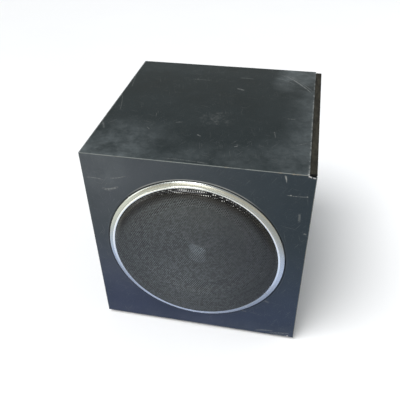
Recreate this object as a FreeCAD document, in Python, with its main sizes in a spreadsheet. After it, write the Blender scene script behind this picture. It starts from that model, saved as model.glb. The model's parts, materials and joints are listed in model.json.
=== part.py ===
import FreeCAD, Part
import math
import os
import re
import Sketcher

# Active subwoofer: a folded-board cabinet with one front-firing driver behind a round grille,
# a reflex port and a small amplifier on the rear. Millimetres, +Z up, the front faces -Y and
# the origin is on the floor, below the middle of the cabinet.

DIMENSIONS = {
    # clearances
    "fit_gap": 0.2,
    "snug_gap": 0.1,
    "hole_gap": 0.3,
    # cabinet
    "cabinet_width": 280,
    "cabinet_depth": 279,
    "cabinet_height": 285,
    "foot_height": 5,
    "board_thickness": 9,
    "side_thickness": 8.5,
    "side_edge_recess": 1.75,
    "corner_gap": 3.5,
    "liner_thickness": 10,
    "driver_board_thickness": 12,
    "rear_recess": 13,
    "batten_width": 15,
    "pad_thickness": 14,
    "pad_margin": 5,
    # feet
    "foot_radius": 10,
    "foot_inset": 30,
    "screw_radius": 1.8,
    "screw_head_radius": 3.8,
    "screw_head_height": 2.2,
    "screw_length": 13,
    "head_recess": 0.3,
    # trim ring and grille
    "driver_offset": -1.2,
    "driver_height": 147,
    "ring_radius": 117.35,
    "ring_mouth": 108.5,
    "ring_proud": 3.4,
    "ring_seat": 3,
    "ring_gap": 1.05,
    "edge_round": 0.6,
    "nose_round": 1,
    "nose_width": 3.4,
    "groove_width": 0.5,
    "groove_depth": 0.65,
    "sleeve_radius": 112.8,
    "sleeve_wall": 1.8,
    "sleeve_depth": 8.6,
    "grille_sheet": 0.8,
    "grille_dome": 1,
    "grille_roll": 5.5,
    "grille_lift": 2,
    "grille_skirt": 6,
    "liner_opening": 108,
    # driver
    "basket_radius": 103,
    "basket_throat": 90,
    "basket_sheet": 1.5,
    "driver_cutout": 93,
    "gasket_thickness": 1,
    "gasket_margin": 0.5,
    "bolt_circle": 97.5,
    "roll_crest": 83.5,
    "roll_half_width": 8.5,
    "roll_height": 6.9,
    "roll_sheet": 0.8,
    "cone_radius": 75,
    "cone_lip": 7,
    "cone_depth": 36,
    "cone_sheet": 0.8,
    "cap_radius": 28,
    "cap_height": 8,
    "former_radius": 19.2,
    "former_wall": 0.2,
    "coil_wall": 0.7,
    "coil_length": 14,
    "shelf_depth": 45.5,
    "shelf_radius": 61,
    "shelf_width": 6.5,
    "spider_swing": 1.5,
    "spider_sheet": 0.5,
    "motor_depth": 61.5,
    "plate_radius": 50,
    "plate_thickness": 6,
    "gap_radius": 20.7,
    "pole_radius": 18.3,
    "vent_radius": 6,
    "magnet_radius": 56,
    "magnet_bore": 27,
    "magnet_thickness": 18,
    # port
    "port_height": 232,
    "port_bore": 25,
    "port_wall": 2,
    "port_length": 115,
    "port_flare": 12,
    "port_flange": 42,
    # amplifier plate
    "plate_width": 190,
    "plate_height": 140,
    "plate_middle": 105,
    "plate_sheet": 1.5,
    "plate_border": 12,
    "plate_hole_inset": 6,
    "chamber_depth": 60,
    "chamber_wall": 4,
    "chamber_inset": 1,
    "grommet_bore": 3,
    "grommet_neck": 5,
    "grommet_lip": 7,
    "board_sheet": 1.6,
    "board_standoff": 23,
    "board_margin": 16,
    "capacitor_radius": 9,
    "capacitor_length": 30,
    "capacitor_pitch": 22,
    "sink_base": 4,
    "fin_pitch": 8,
    "fin_sheet": 2,
    "fin_depth": 14,
    "chip_width": 12,
    "chip_height": 17,
    "chip_depth": 4.5,
    "core_width": 50,
    "core_height": 42,
    "core_depth": 20,
    "core_window": 8,
    "core_leg": 12,
    "winding_width": 27.6,
    "winding_depth": 36,
    "strap_sheet": 1.5,
    "strap_width": 14,
    "strap_foot": 12,
    # controls and sockets
    "knob_place": 62,
    "controls_height": 140,
    "knob_radius": 8.5,
    "knob_length": 17.8,
    "shaft_radius": 3,
    "running_gap": 0.05,
    "bush_radius": 3.5,
    "bush_length": 6.5,
    "control_depth": 14,
    "control_floor": 2,
    "nut_height": 2.4,
    "knob_lift": 1.2,
    "knob_cap": 3,
    "jack_place": 5,
    "jack_pitch": 18,
    "jack_radius": 4.15,
    "jack_length": 9,
    "jack_wall": 0.6,
    "jack_bore": 1.6,
    "jack_block_margin": 8,
    "power_height": 62,
    "rocker_place": -62,
    "rocker_width": 10.2,
    "rocker_tilt": 10,
    "rocker_pivot": 3,
    "rocker_pin": 1,
    "switch_wall": 1.1,
    "switch_height": 19,
    "switch_depth": 15,
    "switch_flange": 1.5,
    "inlet_place": 0,
    "inlet_width": 27,
    "inlet_height": 19.6,
    "inlet_depth": 24,
    "inlet_flange": 2.5,
    "inlet_flange_width": 50,
    "inlet_rim": 2,
    "inlet_screw_pitch": 40,
    "socket_width": 24,
    "socket_height": 16,
    "socket_corner": 4,
    "socket_depth": 16,
    "blade_pitch": 7,
    "blade_offset": 2,
    "blade_width": 2,
    "blade_height": 4,
}

V = FreeCAD.Vector
BACKWARD = FreeCAD.Rotation(V(1, 0, 0), -90)
UPWARD = FreeCAD.Rotation()

doc = FreeCAD.newDocument("subwoofer")
sheet = doc.addObject("Spreadsheet::Sheet", "Sheet")
for row, (alias, value) in enumerate(DIMENSIONS.items(), start=1):
    sheet.set(f"A{row}", alias)
    sheet.set(f"B{row}", str(value))
    sheet.setAlias(f"B{row}", alias)
doc.recompute()

# Planes and edges that many pieces share, as formulas over the sheet.
LEFT = "(-cabinet_width / 2)"
RIGHT = "(cabinet_width / 2)"
FRONT = "(-cabinet_depth / 2)"
REAR = "(cabinet_depth / 2)"
BOTTOM = "(foot_height)"
TOP = "(foot_height + cabinet_height)"
IN_LEFT = f"({LEFT} + board_thickness)"
IN_RIGHT = f"({RIGHT} - side_thickness)"
IN_BOTTOM = f"({BOTTOM} + board_thickness)"
IN_TOP = f"({TOP} - board_thickness)"
BAFFLE_BACK = f"({FRONT} + board_thickness)"
LINER_BACK = f"({BAFFLE_BACK} + liner_thickness)"
BOARD_BACK = f"({LINER_BACK} + driver_board_thickness)"
FLANGE = f"({LINER_BACK} - gasket_thickness - basket_sheet)"
REAR_FACE = f"({REAR} - rear_recess)"
REAR_INNER = f"({REAR_FACE} - board_thickness)"
PLATE_INNER = f"({REAR_FACE} + gasket_thickness)"
PLATE_OUTER = f"({PLATE_INNER} + plate_sheet)"
PLATE_LOW = "(plate_middle - plate_height / 2)"
PLATE_HIGH = "(plate_middle + plate_height / 2)"
CHAMBER_FLOOR = f"({PLATE_LOW} + chamber_inset + chamber_wall)"
PORT_NECK = "(port_bore + port_flare - port_wall * 0.6)"
CONE_NECK = "(cone_depth - cone_sheet / 4)"
SWITCH_HALF_WIDTH = "(rocker_width / 2 + fit_gap + switch_wall)"

BOLTS = 8
WINDOWS = 8
FINS = 5
FLUTES = 18
TAG_OFFSET = 5

subparts = []


def formula(text):
    """Point every alias in a formula at the sheet."""
    return re.sub(r"[a-z][a-z0-9]*(?:_[a-z0-9]+)+", lambda word: "Sheet." + word.group(0), str(text))


def size(text):
    """Value of a formula over the sheet."""
    return float(sheet.evalExpression(formula(text)))


def body(name, x="0", y="0", z="0", turn=UPWARD):
    """A new named piece whose own frame stands at x, y, z."""
    piece = doc.addObject("PartDesign::Body", name)
    piece.Label = name
    piece.AllowCompound = True
    piece.Placement = FreeCAD.Placement(V(0, 0, 0), turn)
    for axis, place in zip("xyz", (x, y, z)):
        piece.setExpression(f"Placement.Base.{axis}", formula(place))
    subparts.append(piece)
    return piece


def on_driver(name, depth=FLANGE):
    """A piece on the driver's axis: its local Z runs backward from the given plane."""
    return body(name, "driver_offset", depth, "driver_height", BACKWARD)


def origin_feature(piece, role):
    return next(item for item in piece.Origin.OriginFeatures if item.Role == role)


def place_point(sketch, edge, end, x, y):
    """Hold one end of an edge at x, y."""
    for kind, value in (("DistanceX", x), ("DistanceY", y)):
        row = sketch.addConstraint(Sketcher.Constraint(kind, -1, 1, edge, end, size(value)))
        sketch.setExpression(f"Constraints[{row}]", formula(value))


def hold_radius(sketch, edge, radius):
    row = sketch.addConstraint(Sketcher.Constraint("Radius", edge, size(radius)))
    sketch.setExpression(f"Constraints[{row}]", formula(radius))


def add_circle(sketch, x, y, radius):
    circle = Part.Circle(V(size(x), size(y), 0), V(0, 0, 1), size(radius))
    edge = sketch.addGeometry(circle, False)
    place_point(sketch, edge, 3, x, y)
    hold_radius(sketch, edge, radius)


def arc_between(start, end, radius, left):
    """The short arc of a circle from start to end, turning left or right."""
    chord = end - start
    side = V(-chord.y, chord.x, 0).normalize()
    rise = math.sqrt(radius ** 2 - (chord.Length / 2) ** 2)
    centre = (start + end) / 2 + side * (rise if left else -rise)
    first, last = (start, end) if left else (end, start)
    low = math.atan2(first.y - centre.y, first.x - centre.x)
    high = math.atan2(last.y - centre.y, last.x - centre.x)
    if high < low:
        high += 2 * math.pi
    return Part.ArcOfCircle(Part.Circle(centre, V(0, 0, 1), radius), low, high)


def add_outline(sketch, points):
    """A closed loop through points (x, y). A third value is the radius of the arc that leads to
    the point, and a fourth, "left" or "right", is the way that arc turns."""
    spots = [V(size(point[0]), size(point[1]), 0) for point in points]
    ends = []
    for index, point in enumerate(points):
        start, end = spots[index - 1], spots[index]
        if len(point) == 2:
            edge = sketch.addGeometry(Part.LineSegment(start, end), False)
            ends.append((edge, 1, 2))
        else:
            left = point[3] == "left"
            arc = arc_between(start, end, size(point[2]), left)
            edge = sketch.addGeometry(arc, False)
            ends.append((edge, 1, 2) if left else (edge, 2, 1))
    for index, point in enumerate(points):
        edge, first, last = ends[index]
        following, joined, _ = ends[(index + 1) % len(points)]
        sketch.addConstraint(Sketcher.Constraint("Coincident", edge, last, following, joined))
        place_point(sketch, edge, last, point[0], point[1])
        if len(point) > 2:
            hold_radius(sketch, edge, point[2])


def draw(piece, plane, loops, offset="0"):
    """A sketch of several loops on one of the piece's own origin planes. A loop is a list of
    points, or a tuple (x, y, radius) for a circle."""
    sketch = piece.newObject("Sketcher::SketchObject", piece.Name + "_sketch")
    sketch.AttachmentSupport = [(origin_feature(piece, plane), "")]
    sketch.MapMode = "FlatFace"
    sketch.setExpression("AttachmentOffset.Base.z", formula(offset))
    for loop in loops:
        if isinstance(loop, tuple):
            add_circle(sketch, *loop)
        else:
            add_outline(sketch, loop)
    return sketch


def pad(piece, plane, loops, lower, upper):
    """Fill loops between two distances along the plane's normal. The normal of XZ_Plane is -Y."""
    feature = piece.newObject("PartDesign::Pad", piece.Name + "_pad")
    feature.Profile = draw(piece, plane, loops, lower)
    feature.setExpression("Length", formula(f"({upper}) - ({lower})"))
    piece.Tip = feature
    return feature


def pad_deep(piece, loops, front, back):
    """Fill XZ loops from the y of the front to the y of the back."""
    return pad(piece, "XZ_Plane", loops, f"-({back})", f"-({front})")


def cut(piece, plane, loops):
    """Cut loops right through the piece."""
    feature = piece.newObject("PartDesign::Pocket", piece.Name + "_cut")
    feature.Profile = draw(piece, plane, loops)
    feature.Type = "ThroughAll"
    feature.SideType = "Symmetric"
    piece.Tip = feature
    return feature


def sink(piece, plane, loops, level, depth):
    """Cut loops from a level, against the plane's normal: downward for XY, backward for XZ."""
    feature = piece.newObject("PartDesign::Pocket", piece.Name + "_sink")
    feature.Profile = draw(piece, plane, loops, level)
    feature.Type = "Length"
    feature.setExpression("Length", formula(depth))
    piece.Tip = feature
    return feature


def revolve(piece, points):
    """Turn a profile of (radius, height) points about the piece's local Z axis."""
    feature = piece.newObject("PartDesign::Revolution", piece.Name + "_turn")
    feature.Profile = draw(piece, "XZ_Plane", [points])
    feature.ReferenceAxis = (feature.Profile[0], ["V_Axis"])
    feature.Angle = 360
    piece.Tip = feature
    return feature


def around(piece, feature, count):
    """Repeat a feature around the piece's local Z axis."""
    pattern = piece.newObject("PartDesign::PolarPattern", piece.Name + "_pattern")
    pattern.Originals = [feature]
    pattern.Axis = (origin_feature(piece, "Z_Axis"), [""])
    pattern.Angle = 360
    pattern.Occurrences = count
    piece.Tip = pattern
    return pattern


def rectangle(x_low, x_high, y_low, y_high):
    return [(x_low, y_low), (x_high, y_low), (x_high, y_high), (x_low, y_high)]


def tube(inner, outer, low, high):
    return [(inner, low), (outer, low), (outer, high), (inner, high)]


def box(name, x_low, x_high, y_low, y_high, z_low, z_high):
    """A rectangular piece."""
    piece = doc.addObject("Part::Box", name)
    piece.Label = name
    for prop, low, high in (("Length", x_low, x_high), ("Width", y_low, y_high), ("Height", z_low, z_high)):
        piece.setExpression(prop, formula(f"({high}) - ({low})"))
    for axis, low in zip("xyz", (x_low, y_low, z_low)):
        piece.setExpression(f"Placement.Base.{axis}", formula(low))
    subparts.append(piece)
    return piece


def ring_of(count, radius, start=0):
    """Centres evenly spaced on a circle."""
    angles = [start + 360 * index / count for index in range(count)]
    return [(f"({radius}) * cos({angle} deg)", f"({radius}) * sin({angle} deg)") for angle in angles]


def circles(places, radius):
    return [(x, y, radius) for x, y in places]


def screws(piece, places, head_low, head_high, shank_low, shank_high, radius="screw_radius"):
    """Round-headed screws along the normal of the piece's XY plane."""
    pad(piece, "XY_Plane", circles(places, "screw_head_radius"), head_low, head_high)
    pad(piece, "XY_Plane", circles(places, radius), shank_low, shank_high)


def swept_wires(name, paths, radius):
    """Round wires, each along a smooth curve through its points."""
    wires = []
    for path in paths:
        curve = Part.BSplineCurve()
        curve.interpolate([V(*(size(value) for value in spot)) for spot in path])
        spine = Part.Wire(curve.toShape())
        start = curve.value(0)
        profile = Part.Wire(Part.Circle(start, curve.tangent(0)[0], size(radius)).toShape())
        wires.append(spine.makePipeShell([profile], True, False))
    piece = doc.addObject("Part::Feature", name)
    piece.Label = name
    piece.Shape = Part.Compound(wires) if len(wires) > 1 else wires[0]
    piece.Placement = FreeCAD.Placement()
    subparts.append(piece)
    return piece


# ---- cabinet ---------------------------------------------------------------------------------

def front_baffle():
    """Front board: its top, bottom and left edges are mitred, and a counterbore takes the ring."""
    piece = body("front_baffle")
    mitred = [
        (FRONT, BOTTOM),
        (BAFFLE_BACK, IN_BOTTOM),
        (BAFFLE_BACK, IN_TOP),
        (FRONT, TOP),
    ]
    pad(piece, "YZ_Plane", [mitred], LEFT, RIGHT)
    left_mitre = [(LEFT, FRONT), (IN_LEFT, BAFFLE_BACK), (LEFT, BAFFLE_BACK)]
    cut(piece, "XY_Plane", [left_mitre])
    cut(piece, "XZ_Plane", [("driver_offset", "driver_height", "sleeve_radius + fit_gap")])
    counterbore = ("driver_offset", "driver_height", "ring_radius + ring_gap")
    sink(piece, "XZ_Plane", [counterbore], f"-{FRONT}", "ring_seat")


def wrapped_panel(name, section, mitre_plane, mitre):
    """A board of the folded wrap, run front to back and mitred at its front edge."""
    piece = body(name)
    pad_deep(piece, [section], FRONT, REAR)
    cut(piece, mitre_plane, [mitre])
    return piece


def top_panel():
    section = [(LEFT, TOP), (IN_LEFT, IN_TOP), (IN_RIGHT, IN_TOP), (IN_RIGHT, TOP)]
    mitre = [(FRONT, TOP), (FRONT, IN_TOP), (BAFFLE_BACK, IN_TOP)]
    wrapped_panel("top_panel", section, "YZ_Plane", mitre)


def bottom_panel():
    section = [(LEFT, BOTTOM), (IN_RIGHT, BOTTOM), (IN_RIGHT, IN_BOTTOM), (IN_LEFT, IN_BOTTOM)]
    mitre = [(FRONT, BOTTOM), (BAFFLE_BACK, IN_BOTTOM), (FRONT, IN_BOTTOM)]
    piece = wrapped_panel("bottom_panel", section, "YZ_Plane", mitre)
    cut(piece, "XY_Plane", circles(foot_places(), "screw_radius"))


def left_side_panel():
    section = [(LEFT, BOTTOM), (IN_LEFT, IN_BOTTOM), (IN_LEFT, IN_TOP), (LEFT, TOP)]
    mitre = [(LEFT, FRONT), (IN_LEFT, FRONT), (IN_LEFT, BAFFLE_BACK)]
    wrapped_panel("left_side_panel", section, "XY_Plane", mitre)


def right_side_panel():
    """Closing board: butt-jointed, so its bare top edge shows, a little below the top laminate
    and a little behind the baffle."""
    high = f"({TOP} - side_edge_recess)"
    low = f"({BOTTOM} + side_edge_recess)"
    tip = f"({FRONT} + corner_gap)"
    side = [
        (tip, low),
        (REAR, low),
        (REAR, high),
        (tip, high),
        (BAFFLE_BACK, f"{IN_TOP} - side_edge_recess + corner_gap"),
        (BAFFLE_BACK, f"{IN_BOTTOM} + side_edge_recess - corner_gap"),
    ]
    pad(body("right_side_panel"), "YZ_Plane", [side], IN_RIGHT, RIGHT)


def inner_board(name, front, back, openings):
    """A board that fits inside the wrap."""
    piece = body(name)
    outline = rectangle(IN_LEFT, IN_RIGHT, IN_BOTTOM, IN_TOP)
    pad_deep(piece, [outline] + openings, front, back)
    return piece


def baffle_liner():
    opening = ("driver_offset", "driver_height", "liner_opening")
    inner_board("baffle_liner", BAFFLE_BACK, LINER_BACK, [opening])


def driver_board():
    opening = ("driver_offset", "driver_height", "driver_cutout")
    holes = [(f"driver_offset + {x}", f"driver_height - {y}", "screw_radius") for x, y in bolt_places()]
    inner_board("driver_board", LINER_BACK, BOARD_BACK, [opening] + holes)


def rear_panel():
    port = ("0", "port_height", f"{PORT_NECK} + fit_gap")
    amplifier = rectangle(*plate_rectangle("plate_border"))
    holes = circles(plate_screw_places(), "screw_radius")
    inner_board("rear_panel", REAR_INNER, REAR_FACE, [port, amplifier] + holes)


def corner_battens():
    """Four square glue blocks along the inner corners."""
    loops = []
    for x_low, x_high in ((IN_LEFT, f"{IN_LEFT} + batten_width"), (f"{IN_RIGHT} - batten_width", IN_RIGHT)):
        loops.append(rectangle(x_low, x_high, IN_BOTTOM, f"{IN_BOTTOM} + batten_width"))
        loops.append(rectangle(x_low, x_high, f"{IN_TOP} - batten_width", IN_TOP))
    pad_deep(body("corner_battens"), loops, BOARD_BACK, REAR_INNER)


def damping_pads():
    """Soft wadding on both sides and under the top."""
    inset = "(batten_width + pad_margin)"
    low = f"{IN_BOTTOM} + {inset}"
    high = f"{IN_TOP} - {inset}"
    front = f"{BOARD_BACK} + pad_margin"
    back = f"{REAR_INNER} - pad_margin"
    box("damping_pad_left", IN_LEFT, f"{IN_LEFT} + pad_thickness", front, back, low, high)
    box("damping_pad_right", f"{IN_RIGHT} - pad_thickness", IN_RIGHT, front, back, low, high)
    box("damping_pad_top", f"{IN_LEFT} + {inset}", f"{IN_RIGHT} - {inset}", front, back,
        f"{IN_TOP} - pad_thickness", IN_TOP)


def foot_places():
    x = f"({RIGHT} - foot_inset)"
    y = f"({REAR} - foot_inset)"
    return [(f"{a}{x}", f"{b}{y}") for a in ("", "-") for b in ("", "-")]


def rubber_feet():
    """Four feet, each with a recess that hides its screw."""
    piece = body("rubber_feet")
    pad(piece, "XY_Plane", circles(foot_places(), "foot_radius"), "0", "foot_height")
    cut(piece, "XY_Plane", circles(foot_places(), "screw_radius + hole_gap"))
    sink(piece, "XY_Plane", circles(foot_places(), "screw_head_radius + hole_gap"),
         "head_recess + screw_head_height", "foot_height")


def foot_screws():
    top = "head_recess + screw_head_height"
    screws(body("foot_screws"), foot_places(), "head_recess", top, top, "screw_length")


# ---- trim ring and grille --------------------------------------------------------------------

def trim_ring():
    """Silver ring: a wide rounded nose at the mouth, a groove, a bevel falling outward, and a
    sleeve through the baffle."""
    fall = "(nose_width - nose_round)"
    crown = f"({fall} * {fall} + groove_depth * groove_depth) / (2 * groove_depth)"
    profile = [
        ("ring_radius", "ring_seat"),
        ("ring_radius", "0"),
        ("ring_radius - edge_round", "-edge_round", "edge_round", "left"),
        ("ring_mouth + nose_width + groove_width", "-ring_proud + groove_depth - fit_gap"),
        ("ring_mouth + nose_width", "-ring_proud + groove_depth"),
        ("ring_mouth + nose_round", "-ring_proud", crown, "left"),
        ("ring_mouth", "-ring_proud + nose_round", "nose_round", "left"),
        ("ring_mouth", "0"),
        ("sleeve_radius - sleeve_wall", "0"),
        ("sleeve_radius - sleeve_wall", "sleeve_depth"),
        ("sleeve_radius", "sleeve_depth"),
        ("sleeve_radius", "ring_seat"),
    ]
    revolve(on_driver("trim_ring", FRONT), profile)


def grille():
    """Domed steel disc that stands proud of the ring, with a rolled edge and a folded skirt.
    Its perforations are part of the finish."""
    wall = "(ring_mouth - 2 * fit_gap)"
    edge = f"({wall} - grille_roll)"
    outer = "(sleeve_radius - sleeve_wall - fit_gap)"
    shoulder = "(grille_lift + grille_roll)"
    bend = f"({edge} * {edge} + grille_dome * grille_dome) / (2 * grille_dome)"
    profile = [
        (outer, "0"),
        (outer, "grille_skirt"),
        (f"{outer} - grille_sheet", "grille_skirt"),
        (f"{outer} - grille_sheet", "grille_sheet"),
        (f"{wall} - grille_sheet", "grille_sheet"),
        (f"{wall} - grille_sheet", "-grille_lift"),
        (edge, f"grille_sheet - {shoulder}", "grille_roll - grille_sheet", "right"),
        ("0", f"grille_sheet - {shoulder} - grille_dome", bend, "right"),
        ("0", f"-{shoulder} - grille_dome"),
        (edge, f"-{shoulder}", bend, "left"),
        (wall, "-grille_lift", "grille_roll", "left"),
        (wall, "0"),
    ]
    revolve(on_driver("grille", FRONT), profile)


def grille_gasket():
    outer = "sleeve_radius - sleeve_wall - fit_gap"
    revolve(on_driver("grille_gasket", FRONT),
            tube("liner_opening + fit_gap", outer, "grille_skirt", "board_thickness"))


# ---- driver ----------------------------------------------------------------------------------

def bolt_places():
    return ring_of(BOLTS, "bolt_circle", 180 / BOLTS)


def driver_gasket():
    piece = on_driver("driver_gasket")
    revolve(piece, tube("driver_cutout + gasket_margin", "basket_radius - gasket_margin", "basket_sheet",
                        "basket_sheet + gasket_thickness"))
    cut(piece, "XY_Plane", circles(bolt_places(), "screw_radius + hole_gap"))


def driver_basket():
    """Pressed steel frame: flange, eight windows, spider shelf and motor seat."""
    piece = on_driver("driver_basket")
    collar = "basket_sheet * 10"
    taper = "1.4"
    seat = "0.6"
    wall = "basket_sheet * 0.8"
    profile = [
        ("basket_radius", "0"),
        ("basket_radius", "basket_sheet"),
        ("basket_throat + basket_sheet", "basket_sheet"),
        (f"basket_throat - {taper}", collar),
        (f"shelf_radius + {seat}", "shelf_depth + basket_sheet"),
        (f"shelf_radius - shelf_width + {wall}", "shelf_depth + basket_sheet"),
        (f"plate_radius + {seat} + {wall}", "motor_depth"),
        ("magnet_bore", "motor_depth"),
        ("magnet_bore", "motor_depth - basket_sheet"),
        (f"plate_radius + {seat}", "motor_depth - basket_sheet"),
        ("shelf_radius - shelf_width", "shelf_depth"),
        ("shelf_radius", "shelf_depth"),
        (f"basket_throat - {taper} - basket_sheet", collar),
        ("basket_throat", "0"),
    ]
    revolve(piece, profile)
    border = "4"
    spread = "0.27"
    inner = f"shelf_radius + {border}"
    outer = f"basket_throat - {border}"
    window = [
        (inner, f"-shelf_radius * {spread}"),
        (outer, f"-basket_throat * {spread}"),
        (outer, f"basket_throat * {spread}"),
        (inner, f"shelf_radius * {spread}"),
    ]
    around(piece, cut(piece, "XY_Plane", [window]), WINDOWS)
    cut(piece, "XY_Plane", circles(bolt_places(), "screw_radius + hole_gap"))


def driver_screws():
    low = "-screw_head_height"
    screws(on_driver("driver_screws"), bolt_places(), low, "0", "0", "screw_length")


def surround():
    """Half-roll of rubber: foot on the flange, lip on the cone."""
    outer = "(roll_crest + roll_half_width)"
    inner = "(roll_crest - roll_half_width)"
    foot = "1.5"
    shrink = "0.6"
    wide = "roll_half_width"
    tall = "roll_height"
    narrow = f"({wide} - {shrink})"
    short = f"({tall} - fit_gap)"
    profile = [
        (f"{outer} + {foot}", "0"),
        (f"{outer} - {shrink}", "0"),
        (f"{inner} + {shrink}", "0", f"({narrow} * {narrow} + {short} * {short}) / (2 * {short})", "right"),
        (f"{inner} - cone_lip", "0"),
        (f"{inner} - cone_lip", "-roll_sheet"),
        (inner, "-roll_sheet"),
        (outer, "-roll_sheet", f"({wide} * {wide} + {tall} * {tall}) / (2 * {tall})", "left"),
        (f"{outer} + {foot}", "-roll_sheet"),
    ]
    revolve(on_driver("surround"), profile)


def cone():
    lip = "(cone_radius - cone_lip)"
    profile = [
        ("cone_radius", "0"),
        ("cone_radius", "cone_sheet"),
        (f"{lip} - cone_sheet / 2", "cone_sheet"),
        ("former_radius", "cone_depth + cone_sheet"),
        ("former_radius", CONE_NECK),
        (lip, "0"),
    ]
    revolve(on_driver("cone"), profile)


def dust_cap():
    """Shallow dome over the voice coil."""
    slope = f"({CONE_NECK} / (cone_radius - cone_lip - former_radius))"
    foot = f"({slope} * (cone_radius - cone_lip - cap_radius) - snug_gap)"
    bend = "(cap_radius * cap_radius + cap_height * cap_height) / (2 * cap_height)"
    thinner = "(cap_radius - cone_sheet)"
    bend_inside = f"({thinner} * {thinner} + cap_height * cap_height) / (2 * cap_height)"
    profile = [
        ("0", f"{foot} - cap_height - cone_sheet"),
        ("cap_radius", f"{foot} - cone_sheet", bend, "left"),
        ("cap_radius", foot),
        (thinner, foot),
        ("0", f"{foot} - cap_height", bend_inside, "right"),
    ]
    revolve(on_driver("dust_cap"), profile)


def coil_middle():
    return "(motor_depth + plate_thickness / 2)"


def coil_former():
    glued = "2"
    bare_end = "1"
    low = f"cone_depth - {glued}"
    high = f"{coil_middle()} + coil_length / 2 + {bare_end}"
    revolve(on_driver("coil_former"), tube("former_radius - former_wall", "former_radius", low, high))


def voice_coil():
    low = f"{coil_middle()} - coil_length / 2"
    high = f"{coil_middle()} + coil_length / 2"
    revolve(on_driver("voice_coil"), tube("former_radius", "former_radius + coil_wall", low, high))


def spider():
    """Corrugated cloth disc between the former and the basket shelf."""
    waves = 12
    collar = "3"
    glued = "1"
    inner = f"(former_radius + {collar})"
    outer = f"(shelf_radius - shelf_width + {glued})"
    crest = "(shelf_depth - spider_sheet)"
    upper = [("former_radius", crest)]
    for index in range(waves + 1):
        swing = "0" if index % 2 == 0 else "2 * spider_swing"
        upper.append((f"{inner} + ({outer} - {inner}) * {index} / {waves}", f"{crest} - {swing}"))
    upper.append(("shelf_radius - spider_sheet", crest))
    lower = [(x, f"{y} + spider_sheet") for x, y in reversed(upper)]
    revolve(on_driver("spider"), upper + lower)


def motor():
    """Top plate, ring magnet and T-shaped yoke with a vented pole."""
    back = "(motor_depth + plate_thickness)"
    yoke = f"({back} + magnet_thickness)"
    revolve(on_driver("top_plate"), tube("gap_radius", "plate_radius", "motor_depth", back))
    revolve(on_driver("magnet"), tube("magnet_bore", "magnet_radius", back, yoke))
    profile = [
        ("vent_radius", "motor_depth"),
        ("pole_radius", "motor_depth"),
        ("pole_radius", yoke),
        ("plate_radius", yoke),
        ("plate_radius", f"{yoke} + plate_thickness"),
        ("vent_radius", f"{yoke} + plate_thickness"),
    ]
    revolve(on_driver("pole_yoke"), profile)


def terminal_strip():
    """Tag board on the back of the spider shelf, with two solder tags."""
    low = "shelf_depth + basket_sheet"
    high = f"{low} + basket_sheet"
    inner, outer, half = "shelf_radius - 4", "shelf_radius + 13", "9"
    tag_inner, tag_outer, tag_half, tag_height = "shelf_radius + 4", "shelf_radius + 12", "1.5", "4"
    piece = on_driver("terminal_strip")
    pad(piece, "XY_Plane", [rectangle(inner, outer, f"-{half}", half)], low, high)
    tags = [rectangle(tag_inner, tag_outer, f"{y} - {tag_half}", f"{y} + {tag_half}")
            for y in (-TAG_OFFSET, TAG_OFFSET)]
    pad(piece, "XY_Plane", tags, high, f"{high} + {tag_height}")


def tinsel_leads():
    """Two flexible braids from the tag board through a basket window to the cone. Each station
    is a distance from the driver's axis and a depth behind the flange."""
    braid_radius = "0.6"
    stations = [
        ("shelf_radius + 9", "shelf_depth + 1"),
        ("shelf_radius + 11", "shelf_depth - 8"),
        ("shelf_radius", "cone_depth - 10"),
        ("shelf_radius - 15", "cone_depth / 2 + 1.5"),
    ]
    paths = [[(f"driver_offset + {reach}", f"{FLANGE} + {depth}", f"driver_height + {offset}")
              for reach, depth in stations] for offset in (-TAG_OFFSET, TAG_OFFSET)]
    swept_wires("tinsel_leads", paths, braid_radius)


# ---- port ------------------------------------------------------------------------------------

def port_tube():
    """Flared reflex tube, its local Z runs outward through the rear panel."""
    mouth = "(port_bore + port_flare)"
    outside = "(port_bore + port_wall)"
    lip = "1.5"
    swell = "port_flare * 1.2"
    profile = [
        ("port_bore", "-port_length"),
        (outside, "-port_length"),
        (outside, "-port_flare"),
        (PORT_NECK, "-board_thickness / 3", swell, "right"),
        (PORT_NECK, "0"),
        ("port_flange", "0"),
        ("port_flange", lip),
        (mouth, lip),
        ("port_bore", f"{lip} - port_flare", "port_flare", "left"),
    ]
    revolve(body("port_tube", "0", REAR_FACE, "port_height", BACKWARD), profile)


# ---- amplifier -------------------------------------------------------------------------------

def plate_rectangle(inset="0"):
    return (f"-plate_width / 2 + ({inset})", f"plate_width / 2 - ({inset})",
            f"{PLATE_LOW} + ({inset})", f"{PLATE_HIGH} - ({inset})")


def plate_screw_places():
    x_low, x_high, z_low, z_high = plate_rectangle("plate_hole_inset")
    corners = [(x, z) for x in (x_low, x_high) for z in (z_low, z_high)]
    middles = [("0", z_low), ("0", z_high), (x_low, "plate_middle"), (x_high, "plate_middle")]
    return corners + middles


def jack_places():
    half = "jack_pitch / 2"
    return [(f"jack_place {a} {half}", f"controls_height {b} {half}") for a in "+-" for b in "+-"]


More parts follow.
